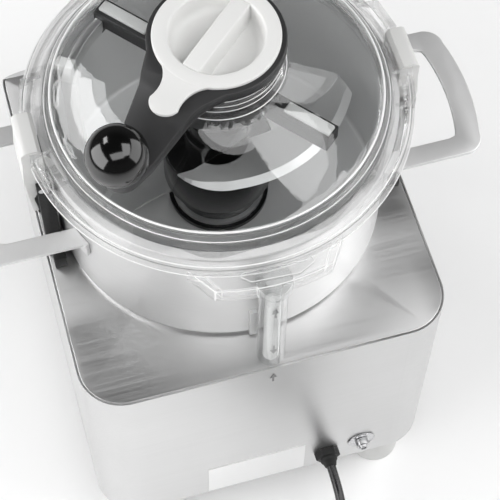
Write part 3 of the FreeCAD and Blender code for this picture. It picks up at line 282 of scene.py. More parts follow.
@dataclass(frozen=True)
class Clear(Finish):
    """Clear polycarbonate: refracting, with a share of straight-through light."""

    ior: float = 1.45
    straight: float = 0.45

    def shader(self, tree: bpy.types.NodeTree) -> bpy.types.Node:
        """Returns a transmitting shader.

        Args:
            tree: the material's node tree.

        Returns:
            The Principled node.
        """
        bsdf = super().shader(tree)
        bsdf.inputs["Transmission Weight"].default_value = 1.0
        bsdf.inputs["IOR"].default_value = self.ior
        return bsdf

    def close(self, tree: bpy.types.NodeTree, bsdf: bpy.types.Node, out: bpy.types.Node) -> None:
        """Mixes the shader with straight-through light.

        Args:
            tree: the node tree.
            bsdf: the surface shader.
            out: the output node.
        """
        through = node(tree, "BsdfTransparent")
        mix = node(tree, "MixShader", Fac=self.straight)
        join(tree, (bsdf, "BSDF", mix, 1), (through, "BSDF", mix, 2), (mix, "Shader", out, "Surface"))


DOME = Film("dome_finish", (0.97, 0.975, 0.975), 0.02, 0.01, (60, 60, 60), 0.00001, 0.01, 0.0)
MARK = Plastic("mark_finish", (0.22, 0.22, 0.22), 0.6, 0.05, tint=0.02)
# Inside of the bowl: a more diffuse steel than the outside, and paler, which is painted light that lightens
# the shaded inside.
INSIDE_WITH_PAINTED_LIGHT = Metal("bowl_inside_painted_light_finish", (0.84, 0.84, 0.84), 0.5, 0.05, Way.ROUND.value, 0.000002, metal=0.35)
TUBE = Film("tube_finish", (0.96, 0.965, 0.965), 0.03, 0.01, (60, 60, 60), 0.00001, 0.01, 0.0, mirror=0.13)
# Painted highlight (white) and painted shade (dark grey): opaque finishes for thin rings and rounded edges on
# the clear parts, standing in for the bright and dark lines of light along their edges.
PAINTED_HIGHLIGHT_EDGE = Plastic("painted_highlight_edge_finish", (0.95, 0.95, 0.95), 0.2, 0.02, edge=0.0)
PAINTED_SHADE_EDGE = Plastic("painted_shade_edge_finish", (0.25, 0.25, 0.25), 0.3, 0.02, edge=0.0)
# Wall wiper: the white plastic made paler than the white finish, painted light that lightens its shaded inner
# face.
PAINTED_LIGHT_WIPER = Plastic("wiper_painted_light_finish", (0.97, 0.97, 0.96), 0.42, 0.04, bump=0.00001, tint=0.01)
HANDLE_STEEL = Metal("handle_finish", (0.8, 0.8, 0.8), 0.45, 0.04, Way.CAST.value, 0.000003, metal=0.5)
EDGE_STEEL = Metal("edge_finish", (0.86, 0.86, 0.86), 0.42, 0.03, Way.CAST.value, 0.000001, 0.02, 0.0,
                   metal=0.6)
FINISHES: dict[Slot, Finish] = {
    Slot.SHEET: Metal("sheet_finish", (0.66, 0.66, 0.66), 0.34, 0.05, Way.ALONG_X.value, 0.000006),
    Slot.BOWL: Metal("bowl_finish", (0.7, 0.7, 0.7), 0.36, 0.05, Way.ROUND.value, 0.000005, metal=0.85),
    Slot.BLADE: Metal("blade_finish", (0.74, 0.74, 0.74), 0.38, 0.03, Way.CAST.value, 0.000001, 0.02, 0.0,
                      metal=0.7),
    Slot.SHAFT: Metal("shaft_finish", (0.62, 0.62, 0.63), 0.28, 0.06, Way.ROUND.value, 0.000006),
    Slot.ALLOY: Metal("alloy_finish", (0.55, 0.56, 0.58), 0.45, 0.08, Way.CAST.value, 0.00003),
    Slot.IRON: Metal("iron_finish", (0.2, 0.2, 0.21), 0.55, 0.08, Way.ALONG_Z.value, 0.00003),
    Slot.FOOT: Plastic("foot_finish", (0.72, 0.72, 0.71), 0.55, 0.08),
    Slot.SEAL: Plastic("seal_finish", (0.85, 0.85, 0.85), 0.4, 0.08),
    Slot.CLEAR: Clear("clear_finish", (1.0, 1.0, 1.0), 0.01, 0.0, (60, 60, 60), 0.000001, 0.0, 0.0,
                      straight=0.6),
    Slot.WHITE: Plastic("white_finish", (0.8, 0.8, 0.79), 0.42, 0.06, bump=0.00001, tint=0.02),
    Slot.GREY: Plastic("clip_finish", (0.7, 0.7, 0.69), 0.4, 0.06, bump=0.00001, tint=0.03),
    Slot.LEVER: Plastic("lever_finish", (0.03, 0.03, 0.031), 0.42, 0.08, bump=0.00002),
    Slot.HUB: Plastic("hub_finish", (0.006, 0.006, 0.006), 0.14, 0.05, bump=0.000004, specular=0.3),
    Slot.BALL: Plastic("ball_finish", (0.003, 0.003, 0.003), 0.11, 0.01, bump=0.000001, specular=0.8),
    Slot.BLACK: Plastic("black_finish", (0.016, 0.016, 0.016), 0.5, 0.06, specular=0.25),
    Slot.CABLE: Plastic("cable_finish", (0.008, 0.008, 0.009), 0.28, 0.06, coat=0.2),
    Slot.BRASS: Metal("brass_finish", (0.7, 0.55, 0.3), 0.3, 0.06, Way.CAST.value),
    Slot.BOARD: Plastic("board_finish", (0.03, 0.2, 0.08), 0.3, 0.06),
    Slot.START: Plastic("start_finish", (0.03, 0.4, 0.1), 0.25, 0.05, coat=0.4),
    Slot.STOP: Plastic("stop_finish", (0.6, 0.02, 0.02), 0.25, 0.05, coat=0.4),
    Slot.PULSE: Plastic("pulse_finish", (0.01, 0.01, 0.012), 0.25, 0.05, coat=0.4),
    Slot.PLATE: Metal("plate_finish", (0.88, 0.88, 0.88), 0.42, 0.05, Way.ALONG_X.value, 0.000004),
}


class Mesh:
    """A new piece made in mesh code, in millimetres; its object sits at the origin in metres."""

    def __init__(self, name: str) -> None:
        """Starts an empty mesh.

        Args:
            name: name of the piece.
        """
        self.name = name
        self.bm = bmesh.new()
        self.rounds: list[bmesh.types.BMFace] = []

    def lathe(self, profile: Sequence[Point], steps: int = 160) -> "Mesh":
        """Turns a closed half section about the vertical axis.

        Args:
            profile: corners (radius, height) of the closed section.
            steps: segments round the axis.

        Returns:
            The mesh itself.
        """
        ring = [self.bm.verts.new((r, 0, z)) for r, z in profile]
        edges = [self.bm.edges.new((a, b)) for a, b in zip(ring, ring[1:] + ring[:1])
                 if not (abs(a.co.x) < 1e-6 and abs(b.co.x) < 1e-6)]
        bmesh.ops.spin(self.bm, geom=ring + edges, cent=(0, 0, 0), axis=(0, 0, 1),
                       angle=math.tau, steps=steps, use_merge=True, use_duplicate=False)
        bmesh.ops.remove_doubles(self.bm, verts=self.bm.verts, dist=1e-3)
        return self

    def sweep(self, section: Sequence[Point], first: float, last: float, steps: int) -> "Mesh":
        """Turns a closed section part of the way round the vertical axis, with closed ends.

        Args:
            section: corners (radius, height) of the closed section.
            first: first angle in degrees.
            last: last angle in degrees.
            steps: segments between them.

        Returns:
            The mesh itself.
        """
        ring = [self.bm.verts.new((r, 0, z)) for r, z in section]
        bmesh.ops.rotate(self.bm, verts=ring, cent=(0, 0, 0), matrix=turned(first).to_3x3())
        edges = [self.bm.edges.new((a, b)) for a, b in zip(ring, ring[1:] + ring[:1])]
        bmesh.ops.spin(self.bm, geom=ring + edges, cent=(0, 0, 0), axis=(0, 0, 1),
                       angle=math.radians(last - first), steps=steps, use_merge=False,
                       use_duplicate=False)
        bmesh.ops.holes_fill(self.bm, edges=[e for e in self.bm.edges if e.is_boundary])
        bmesh.ops.recalc_face_normals(self.bm, faces=self.bm.faces)
        return self

    def prism(self, outline: Sequence[Point], low: float, high: float) -> list[bmesh.types.BMVert]:
        """Raises an outline to a solid.

        Args:
            outline: corners seen from above, counter-clockwise.
            low: height of the underside.
            high: height of the top.

        Returns:
            The top's corners.
        """
        base = [self.bm.verts.new((x, y, low)) for x, y in outline]
        face = self.bm.faces.new(base)
        grown = bmesh.ops.extrude_face_region(self.bm, geom=[face])
        top = [v for v in grown["geom"] if isinstance(v, bmesh.types.BMVert)]
        bmesh.ops.translate(self.bm, verts=top, vec=(0, 0, high - low))
        bmesh.ops.recalc_face_normals(self.bm, faces=self.bm.faces)
        return top

    def soften(self, width: float, angle: float = 30, segments: int = 3,
               test: Callable[[Vector], bool] = lambda place: True) -> "Mesh":
        """Rounds the edges sharper than an angle.

        Args:
            width: bevel width.
            angle: smallest angle in degrees.
            segments: steps of the round.
            test: picks edges by their middle.

        Returns:
            The mesh itself.
        """
        self.bm.normal_update()
        sharp = [e for e in self.bm.edges if len(e.link_faces) == 2
                 and e.calc_face_angle(0) > math.radians(angle)
                 and test((e.verts[0].co + e.verts[1].co) / 2)]
        made = bmesh.ops.bevel(self.bm, geom=sharp, offset=width, offset_type="OFFSET",
                               segments=segments, profile=0.5, affect="EDGES", clamp_overlap=True,
                               material=-1)
        self.rounds = made["faces"]
        return self

    def take(self, thing: bpy.types.Object) -> "Mesh":
        """Copies a CAD node's solid, with its flat faces whole again.

        Args:
            thing: the CAD node's object.

        Returns:
            The mesh itself.
        """
        self.bm.from_mesh(thing.data)
        bmesh.ops.scale(self.bm, vec=(1 / MM, 1 / MM, 1 / MM), verts=self.bm.verts)
        bmesh.ops.remove_doubles(self.bm, verts=self.bm.verts, dist=2e-3)
        bmesh.ops.dissolve_limit(self.bm, angle_limit=math.radians(1), verts=self.bm.verts,
                                 edges=self.bm.edges, use_dissolve_boundaries=False, delimit=set())
        return self

    def move(self, matrix: Matrix) -> "Mesh":
        """Moves everything made so far and returns the mesh itself."""
        self.bm.transform(matrix)
        return self

    def add(self, other: "Mesh") -> "Mesh":
        """Takes another mesh's shells into this piece.

        Args:
            other: the mesh that is used up.

        Returns:
            The mesh itself.
        """
        spare = bpy.data.meshes.new("spare")
        other.bm.to_mesh(spare)
        other.bm.free()
        self.bm.from_mesh(spare)
        bpy.data.meshes.remove(spare)
        return self

    def build(self, finish: Finish, slot: Slot, body: str, *nodes: str, smooth: float = 40,
              extra: Sequence[Finish] = ()) -> bpy.types.Object:
        """Makes the object, gives it its finish and hangs it on its body.

        Args:
            finish: its finish.
            slot: the record's slot; not used.
            body: CAD body that it rides on.
            nodes: CAD nodes that it stands for.
            smooth: largest angle shaded as one surface, in degrees.
            extra: finishes of the faces with higher material numbers.

        Returns:
            The object.
        """
        self.bm.normal_update()
        bmesh.ops.recalc_face_normals(self.bm, faces=self.bm.faces)
        bmesh.ops.scale(self.bm, vec=(MM, MM, MM), verts=self.bm.verts)
        mesh = bpy.data.meshes.new(self.name)
        self.bm.to_mesh(mesh)
        self.bm.free()
        for face in mesh.polygons:
            face.use_smooth = True
        mesh.set_sharp_from_angle(angle=math.radians(smooth))
        thing = bpy.data.objects.new(self.name, mesh)
        bpy.context.scene.collection.objects.link(thing)
        for each in (finish, *extra):
            mesh.materials.append(each.make())
        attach(thing, body)
        if nodes:
            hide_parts(*nodes)
        LOG.info("%s: %d faces", self.name, len(mesh.polygons))
        return thing


def arc(center: Point, radius: float, start: float, end: float, steps: int) -> list[Point]:
    """Points along an arc.

    Args:
        center: the arc's centre.
        radius: its radius.
        start: first angle in degrees.
        end: last angle in degrees.
        steps: number of spans.

    Returns:
        The points, both ends included.
    """
    angles = [math.radians(start + (end - start) * i / steps) for i in range(steps + 1)]
    return [(center[0] + radius * math.cos(a), center[1] + radius * math.sin(a)) for a in angles]


def bow(start: Point, end: Point, radius: float, steps: int, side: int = 1) -> list[Point]:
    """Points on the short arc between two points.

    Args:
        start: first point.
        end: last point.
        radius: the arc's radius.
        steps: number of spans.
        side: 1 where the centre lies left of the chord, -1 where it lies right.

    Returns:
        The points, both ends included.
    """
    first, last = Vector(start), Vector(end)
    half = (last - first) / 2
    away = Vector((-half.y, half.x)).normalized() * side
    center = first + half + away * math.sqrt(radius ** 2 - half.length_squared)
    begin = math.atan2(first.y - center.y, first.x - center.x)
    sweep = math.atan2(last.y - center.y, last.x - center.x) - begin
    sweep = (sweep + math.pi) % math.tau - math.pi
    return [(center.x + radius * math.cos(begin + sweep * i / steps),
             center.y + radius * math.sin(begin + sweep * i / steps)) for i in range(steps + 1)]


def turned(degrees: float, axis: str = "Z") -> Matrix:
    """Returns a turn in degrees about an axis through the origin."""
    return Matrix.Rotation(math.radians(degrees), 4, axis)


def shifted(x: float, y: float, z: float) -> Matrix:
    """Returns a move without a turn."""
    return Matrix.Translation((x, y, z))


@dataclass
class Carried:
    """CAD nodes that keep their own shape and get a finish."""

    frame: dict

    def dress(self) -> None:
        """Gives every CAD node its finish and smooth faces."""
        slots = {row["node"]: row["material_slot"] for row in self.frame["record"]["subparts"]}
        for name, thing in self.frame["nodes"].items():
            thing.data.materials.clear()
            thing.data.materials.append(FINISHES[Slot(slots[name])].make())
            for face in thing.data.polygons:
                face.use_smooth = True
            thing.data.set_sharp_from_angle(angle=math.radians(32))
        LOG.info("dressed %d CAD nodes", len(slots))


@dataclass
class Bowl:
    """Drawn steel bowl with its rolled rim, inner chimney and two D-shaped handles."""

    radius: float = 120.0
    wall: float = 2.0
    corner: float = 6.0
    rim: float = 4.5
    rim_depth: float = 4.0
    chimney: Point = (15.5, 17.0)
    chimney_top: float = PLATE + 60
    handle_top: float = PLATE + 66
    handle_reach: float = 189.0
    handle_wall: float = 3.0
    leg: float = 39.5
    handle_width: float = 15.5
    tab: float = 15.0

    def shell(self) -> None:
        """Turns the bowl."""
        inner = self.radius - self.wall
        small, large = self.chimney
        low = self.corner - self.wall
        profile = [(small, PLATE), (self.radius - self.corner, PLATE)]
        profile += arc((self.radius - self.corner, PLATE + self.corner), self.corner, -75, 0, 5)
        profile += [(self.radius, RIM - self.rim_depth - 1)]
        profile += arc((self.radius + self.rim - 2, RIM - 2), 2, -90, 90, 8)
        profile += [(inner + 1, RIM)]
        profile += [(inner, RIM - 1)]
        profile += arc((inner - low, PLATE + self.corner), low, 0, -90, 5)
        profile += [(large + 2, PLATE + self.wall), (large, PLATE + self.wall + 2)]
        profile += [(large, self.chimney_top), (small, self.chimney_top)]
        piece = Mesh("bowl_shell").lathe(profile, 256)
        # Inner faces take the paler inside steel, painted light on the shaded inside.
        for face in piece.bm.faces:
            center = face.calc_center_median()
            face.material_index = int(center.xy.length < inner + 0.3 and center.z > PLATE + 1)
        piece.build(FINISHES[Slot.BOWL], Slot.BOWL, "bowl", "bowl", extra=(INSIDE_WITH_PAINTED_LIGHT,))

    def outline(self) -> list[Point]:
        """The handle's flat loop, seen from above on the +X side.

        Returns:
            The corners, counter-clockwise.
        """
        far = self.leg + self.handle_width
        foot = math.sqrt(self.radius ** 2 - far ** 2) + 0.4
        near = math.sqrt(self.radius ** 2 - self.leg ** 2) + 0.4
        outer = [(foot, -far)] + bow((self.handle_reach - 21, -far),
                                     (self.handle_reach - 4.9, -self.leg - 1), 14.5, 8)
        outer += bow((self.handle_reach - 4.9, -self.leg - 1), (self.handle_reach - 4.9, self.leg + 1),
                     170, 12)[1:]
        outer += bow((self.handle_reach - 4.9, self.leg + 1), (self.handle_reach - 21, far), 14.5, 8)[1:]
        outer += [(foot, far), (near, self.leg)]
        bar = self.handle_reach - self.handle_width - 6
        inner = [(bar - 6, self.leg), (bar - 1.5, self.leg - 1.5), (bar, self.leg - 6)]
        across = bow((bar, self.leg - 6), (bar, 6 - self.leg), 170 - self.handle_width, 10, -1)[1:-1]
        return outer + inner + across + [(x, -y) for x, y in inner[::-1]] + [(near, -self.leg)]

    def handle(self, side: str, sign: int) -> None:
        """Makes one handle with its two folded tabs.

        Args:
            side: left or right.
            sign: 1 on the +X side, -1 on the other.
        """
        piece = Mesh(f"handle_{side}_loop")
        piece.prism(self.outline(), self.handle_top - self.handle_wall, self.handle_top)
        piece.soften(0.9, 50, 3)
        for end in (-1, 1):
            piece.add(self.tab_piece(end))
        if sign < 0:
            piece.move(Matrix.Scale(-1, 4, (1, 0, 0)))
        piece.build(HANDLE_STEEL, Slot.BOWL, "bowl", f"handle_{side}")

    def tab_piece(self, end: int) -> Mesh:
        """The tab that folds down along the bowl from one leg.

        Args:
            end: -1 at the front leg, 1 at the rear one.

        Returns:
            The tab.
        """
        inner = self.radius + 0.05
        outer = self.radius + self.handle_wall
        low = self.handle_top - self.tab
        profile = [(inner, low), (outer, low)]
        profile += [(outer, self.handle_top - self.handle_wall - 2), (outer + 1.2, self.handle_top - 1.2),
                    (outer + 0.6, self.handle_top - 0.3), (inner, self.handle_top - 0.3)]
        first = math.degrees(math.asin((self.leg + 0.3) / self.radius))
        last = math.degrees(math.asin((self.leg + self.handle_width - 0.3) / self.radius))
        if end < 0:
            first, last = -last, -first
        return Mesh("tab").sweep(profile, first, last, 8).soften(0.7, 40, 2)

    def build(self) -> None:
        """Makes the bowl's pieces."""
        self.shell()
        self.handle("left", 1)
        self.handle("right", -1)


@dataclass
class Knob:
    """Glossy ball at the lever's end."""

    radius: float = 20.5
    rise: float = 8.6
    reach: float = 107.3
    angle: float = 39.4
    flat: float = RIM + 66.5 - 25 + 9.5 + 0.3
    stud: float = 4.0
    stud_low: float = RIM + 66.5 - 25

    def build(self) -> None:
        """Turns the ball with its flat foot and its stud."""
        middle = self.flat + math.sqrt(self.radius ** 2 - self.rise ** 2)
        start = -math.degrees(math.acos(self.rise / self.radius))
        ball = arc((0, middle), self.radius, start, 90, 40)[:-1] + [(0, middle + self.radius)]
        profile = [(0, self.stud_low), (self.stud, self.stud_low), (self.stud, self.flat),
                   (self.rise - 0.8, self.flat)] + ball
        piece = Mesh("ball_handle").lathe(profile, 96)
        piece.move(turned(self.angle) @ shifted(self.reach, 0, 0))
        piece.build(FINISHES[Slot.BALL], Slot.BALL, "scraper", "ball_knob", smooth=25)


@dataclass
class Cap:
    """White filling cap: dished body, grip bar across it and a finger tab."""

    low: float = RIM + 66.5 + 8.3
    rim: float = 3.0
    radius: float = 42.3
    bore: float = 31.4
    depth: float = 16.0
    skin: float = 2.0
    plug: float = 33.2
    grip: float = 7.0
    angle: float = 43.0
    tab_reach: float = 63.0
    tab_radius: float = 10.5
    tab_half: float = 11.0

    def build(self) -> None:
        """Makes the cap."""
        top = self.low + self.rim
        floor = top - self.depth
        bowl = [(0, floor - self.skin), (self.plug, floor - self.skin), (self.plug, self.low)]
        rim = [(self.radius - 0.5, self.low), (self.radius, self.low + 0.5)]
        rim += arc((self.radius - 1.2, top - 1.2), 1.2, 0, 90, 4)
        dish = arc((self.bore + 2, top - 2), 2, 90, 175, 5)
        dish += arc((self.bore - 6.5, floor + 6), 6, -5, -90, 6)
        piece = Mesh("filling_cap").lathe(bowl + rim + dish + [(0, floor)], 128)
        bar = Mesh("grip")
        crest = bar.prism([(-self.bore - 0.5, -self.grip - 1), (self.bore + 0.5, -self.grip - 1),
                           (self.bore + 0.5, self.grip + 1), (-self.bore - 0.5, self.grip + 1)],
                          floor - 1, top)
        bmesh.ops.scale(bar.bm, vec=(1, self.grip / (self.grip + 1.5), 1), verts=crest)
        bar.soften(1.6, 50, 4, lambda place: place.z > top - 0.1)
        piece.add(bar)
        root = self.radius * 0.82
        half = self.tab_half
        side = bow((self.tab_reach, -self.tab_radius), (self.tab_reach, self.tab_radius),
                   self.tab_radius * 1.02, 16)
        neck = bow((root, -half - 12), (self.tab_reach, -self.tab_radius), 24, 10, -1)[:-1]
        outline = neck + side + [(x, -y) for x, y in neck[::-1]]
        tab = Mesh("tab")
        tab.prism(outline, self.low, top - 0.15)
        tab.soften(0.8, 40, 3)
        piece.add(tab)
        piece.move(turned(self.angle))
        piece.build(FINISHES[Slot.WHITE], Slot.WHITE, "cap", "cap", smooth=35)


@dataclass
class WallWiper:
    """White blade that sweeps the bowl's wall and clips over the end of its arm."""

    angle: float = -32.0
    inner: float = 101.9
    outer: float = 115.4
    low: float = PLATE + 14
    block: float = PLATE + 108
    high: float = PLATE + 127

    def build(self) -> None:
        """Makes the wiper."""
        piece = Mesh("side_wiper")
        piece.prism([(self.inner, -1.4), (self.outer - 2, -1.2), (self.outer, 1), (self.inner, 4.6)],
                    self.low, self.block)
        piece.soften(1.2, 30, 3)
        head = Mesh("block")
        head.prism([(self.inner, -1.4), (self.outer - 1, -1.4), (self.outer, 1), (self.outer, 7.0),
                    (self.inner, 7.0)], self.block - 1, self.high)
        piece.add(head.soften(1.4, 30, 4)).move(turned(self.angle))
        # The wiper's paler white is painted light on its shaded face.
        piece.build(PAINTED_LIGHT_WIPER, Slot.WHITE, "scraper", "wall_wiper")


@dataclass
class Rotor:
    """Black drum, collar and knob with the two crescent blades."""

    low: float = PLATE + 10.5
    waist: float = 31.0
    waist_top: float = PLATE + 34
    drum: float = 39.5
    drum_top: float = PLATE + 70.5
    hub: float = 24.0
    neck: float = 12.0
    knob: float = 21.7
    knob_low: float = PLATE + 92.5
    knob_height: float = 19.0
    blade_wall: float = 2.5
    bevel: float = 6.0
    reach: float = 105.0
    heel: Point = (-4.3, 42.8)
    heel_start: Point = (35.0, 21.0)
    tip_angle: float = 7.0
    root_angle: float = 16.0
    root_share: float = 0.98
    flat: float = 11.9
    lean: float = 19.5
    lower_level: float = PLATE + 8

    def body(self) -> None:
        """Turns the drum between the blades."""
        profile = [(self.hub, self.low), (self.waist - 1, self.low), (self.waist, self.low + 1)]
        profile += [(self.waist, self.waist_top - 10), (self.waist + 1.2, self.waist_top - 6),
                    (self.drum - 1, self.waist_top - 1), (self.drum, self.waist_top + 1)]
        profile += arc((self.drum - 1.5, self.drum_top - 1.5), 1.5, 0, 90, 4)
        profile += [(self.neck, self.drum_top), (self.neck, self.drum_top - 4),
                    (self.hub, self.drum_top - 4)]
        Mesh("rotor_drum").lathe(profile, 128).build(FINISHES[Slot.HUB], Slot.HUB, "rotor",
                                                    "blade_spacer")

    def lock(self) -> None:
        """Turns the lock knob with its domed head."""
        top = self.knob_low + self.knob_height
        profile = [(0, self.knob_low), (self.knob - 0.8, self.knob_low), (self.knob, self.knob_low + 0.8)]
        profile += arc((self.knob - 4, top - 4), 4, 0, 90, 6) + [(0, top)]
        Mesh("knob_head").lathe(profile, 96).build(FINISHES[Slot.HUB], Slot.HUB, "rotor", "lock_knob")

    def outline(self) -> tuple[list[Point], list[Point]]:
        """The crescent's cutting edge and its back, in the blade's own frame.

        Returns:
            The points of the cutting edge and of the back.
        """
        tip = (-self.reach * math.cos(math.radians(self.tip_angle)),
               -self.reach * math.sin(math.radians(self.tip_angle)))
        root = (-self.reach * self.root_share * math.cos(math.radians(self.root_angle)),
                -self.reach * self.root_share * math.sin(math.radians(self.root_angle)))
        lean = math.tan(math.radians(self.lean))
        cutting = bow(self.heel_start, self.heel, 45, 8) + bow(self.heel, tip, 102.5, 30)[1:]
        back = bow(root, (-18, self.flat - 18 * lean), 120, 20, -1) + [(24, self.flat + 24 * lean)]
        return cutting, back

    def grind(self, top: Sequence[bmesh.types.BMVert], cutting: Sequence[Point], root: Point) -> None:
        """Slopes the side under the cutting edge by moving the upper corners inwards.

        Args:
            top: the blade's upper corners.
            cutting: points of the cutting edge.
            root: the point behind the tip.
        """
        for index, point in enumerate(cutting):
            here = Vector(point)
            before = Vector(cutting[max(index - 1, 0)])
            after = Vector(cutting[min(index + 1, len(cutting) - 1)])
            along = (after - before).normalized()
            inwards = Vector((-along.y, along.x))
            if index == len(cutting) - 1:
                inwards = (Vector(root) - here).normalized()
            width = self.bevel * min(1.0, index / 5)
            corner = min(top, key=lambda vert: (vert.co.xy - here).length)
            corner.co.x += inwards.x * width
            corner.co.y += inwards.y * width

    def blade(self, name: str, level: float, hole: float, turn: float) -> None:
        """Makes one blade with its ground edge.

        Args:
            name: the CAD node that it stands for.
            level: height of its underside.
            hole: radius of its hole.
            turn: its angle on the hub.
        """
        cutting, back = self.outline()
        piece = Mesh(name + "_ground")
        top = piece.prism(cutting + back, level, level + self.blade_wall)
        self.grind(top, cutting, back[0])
        piece.bm.normal_update()
        for face in piece.bm.faces:
            face.material_index = int(0.3 < face.normal.z < 0.98)
        eye = Mesh("eye").lathe([(hole, level), (hole + 10, level), (hole + 10, level + self.blade_wall),
                                 (hole, level + self.blade_wall)], 96)
        piece.add(eye).move(turned(turn))
        piece.build(FINISHES[Slot.BLADE], Slot.BLADE, "rotor", name, smooth=12, extra=(EDGE_STEEL,))

    def build(self) -> None:
        """Makes the rotor's pieces."""
        self.body()
        self.lock()
        self.blade("upper_blade", self.drum_top, self.neck, 0)
        self.blade("lower_blade", self.lower_level, self.hub, 180)


@dataclass
class Lid:
    """Clear lid: the moulded ring and neck, and the thin dome between them.

    The painted edge rings aren't forms of the real lid: they paint highlights (material 2) and lines of shade
    (material 3) along its edges; the three at radius 43.7 sit on real ridges of the neck, and their white is
    painted highlight too.
    Each has a radius, a height over the rim, half its width and its material number.
    """

    frame: dict
    dome: Point = (113.3, 47.0)
    notch: float = 18.5
    notch_radius: float = 123.0
    painted_edge_rings: tuple[tuple[float, float, float, int], ...] = (
        (113.1, 16.7, 0.85, 2), (114.6, 15.1, 0.3, 3), (117.4, 11.8, 0.45, 2), (118.6, 11.4, 0.22, 3),
        (131.7, 4.2, 0.5, 2), (133.0, 2.0, 0.22, 3), (135.2, -2.3, 0.4, 2), (46.0, 46.2, 0.4, 2),
        (43.7, 52.0, 0.3, 2), (43.7, 57.5, 0.3, 2), (43.7, 63.0, 0.3, 2),
    )

    def shell(self) -> None:
        """Takes the lid's solid and makes its dome a clear film."""
        piece = Mesh("lid_shell").take(self.frame["nodes"]["lid_dome"])
        outer, inner = self.dome
        for face in piece.bm.faces:
            reaches = [vert.co.xy.length for vert in face.verts]
            face.material_index = int(inner < max(reaches) < outer)
        # Thin rings of painted highlight and painted shade along the lid's edges.
        for radius, level, size, mark in self.painted_edge_rings:
            self.painted_edge_ring(piece, radius, RIM + level, size, mark)
        piece.build(FINISHES[Slot.CLEAR], Slot.CLEAR, "lid", "lid_dome", smooth=30,
                    extra=(DOME, PAINTED_HIGHLIGHT_EDGE, PAINTED_SHADE_EDGE))

    def painted_edge_ring(self, piece: Mesh, radius: float, level: float, size: float, mark: int) -> None:
        """Adds one ring of painted light along an edge, a highlight or a line of shade by its material
        number, left open at the latches if it lies outside them.

        Args:
            piece: the lid.
            radius: radius of the ring's middle.
            level: its height.
            size: half its width.
            mark: material number of its faces, 2 for painted highlight and 3 for painted shade.
        """
        section = arc((radius, level), size, 0, 315, 7)
        wide = radius > self.notch_radius
        gap = math.degrees(math.asin(self.notch / radius)) if wide else 0.0
        spans = ((gap, 180 - gap), (180 + gap, 360 - gap)) if wide else ((0.0, 360.0),)
        for first, last in spans:
            ring = Mesh("painted_edge_ring")
            if wide:
                ring.sweep(section, first, last, 120)
            else:
                ring.lathe(section, 240)
            for face in ring.bm.faces:
                face.material_index = mark
            piece.add(ring)

    def arrows(self) -> None:
        """Lays the three small arrows of the interlock: two on the rod, one on the rear face."""
        shape = [(-0.7, -3), (0.7, -3), (0.7, 0.5), (2.6, 0.5), (0, 4), (-2.6, 0.5), (-0.7, 0.5)]
        for name, place, flip in (("arrow_up", (0, 146.3, PLATE + 77), 1),
                                  ("arrow_down", (0, 146.3, PLATE + 22), -1),
                                  ("arrow_rear", (0.8, 151.05, PLATE - 16), 1)):
            piece = Mesh(name)
            piece.prism([(x, y * flip * 1.8) for x, y in shape][::flip], 0, 0.3)
            piece.move(shifted(*place) @ turned(90, "X") @ turned(180, "Y"))
            body = "base" if name == "arrow_rear" else "lid"
            piece.build(MARK, Slot.GREY, body)

    def build(self) -> None:
        """Makes the lid's pieces."""
        self.shell()
        self.arrows()


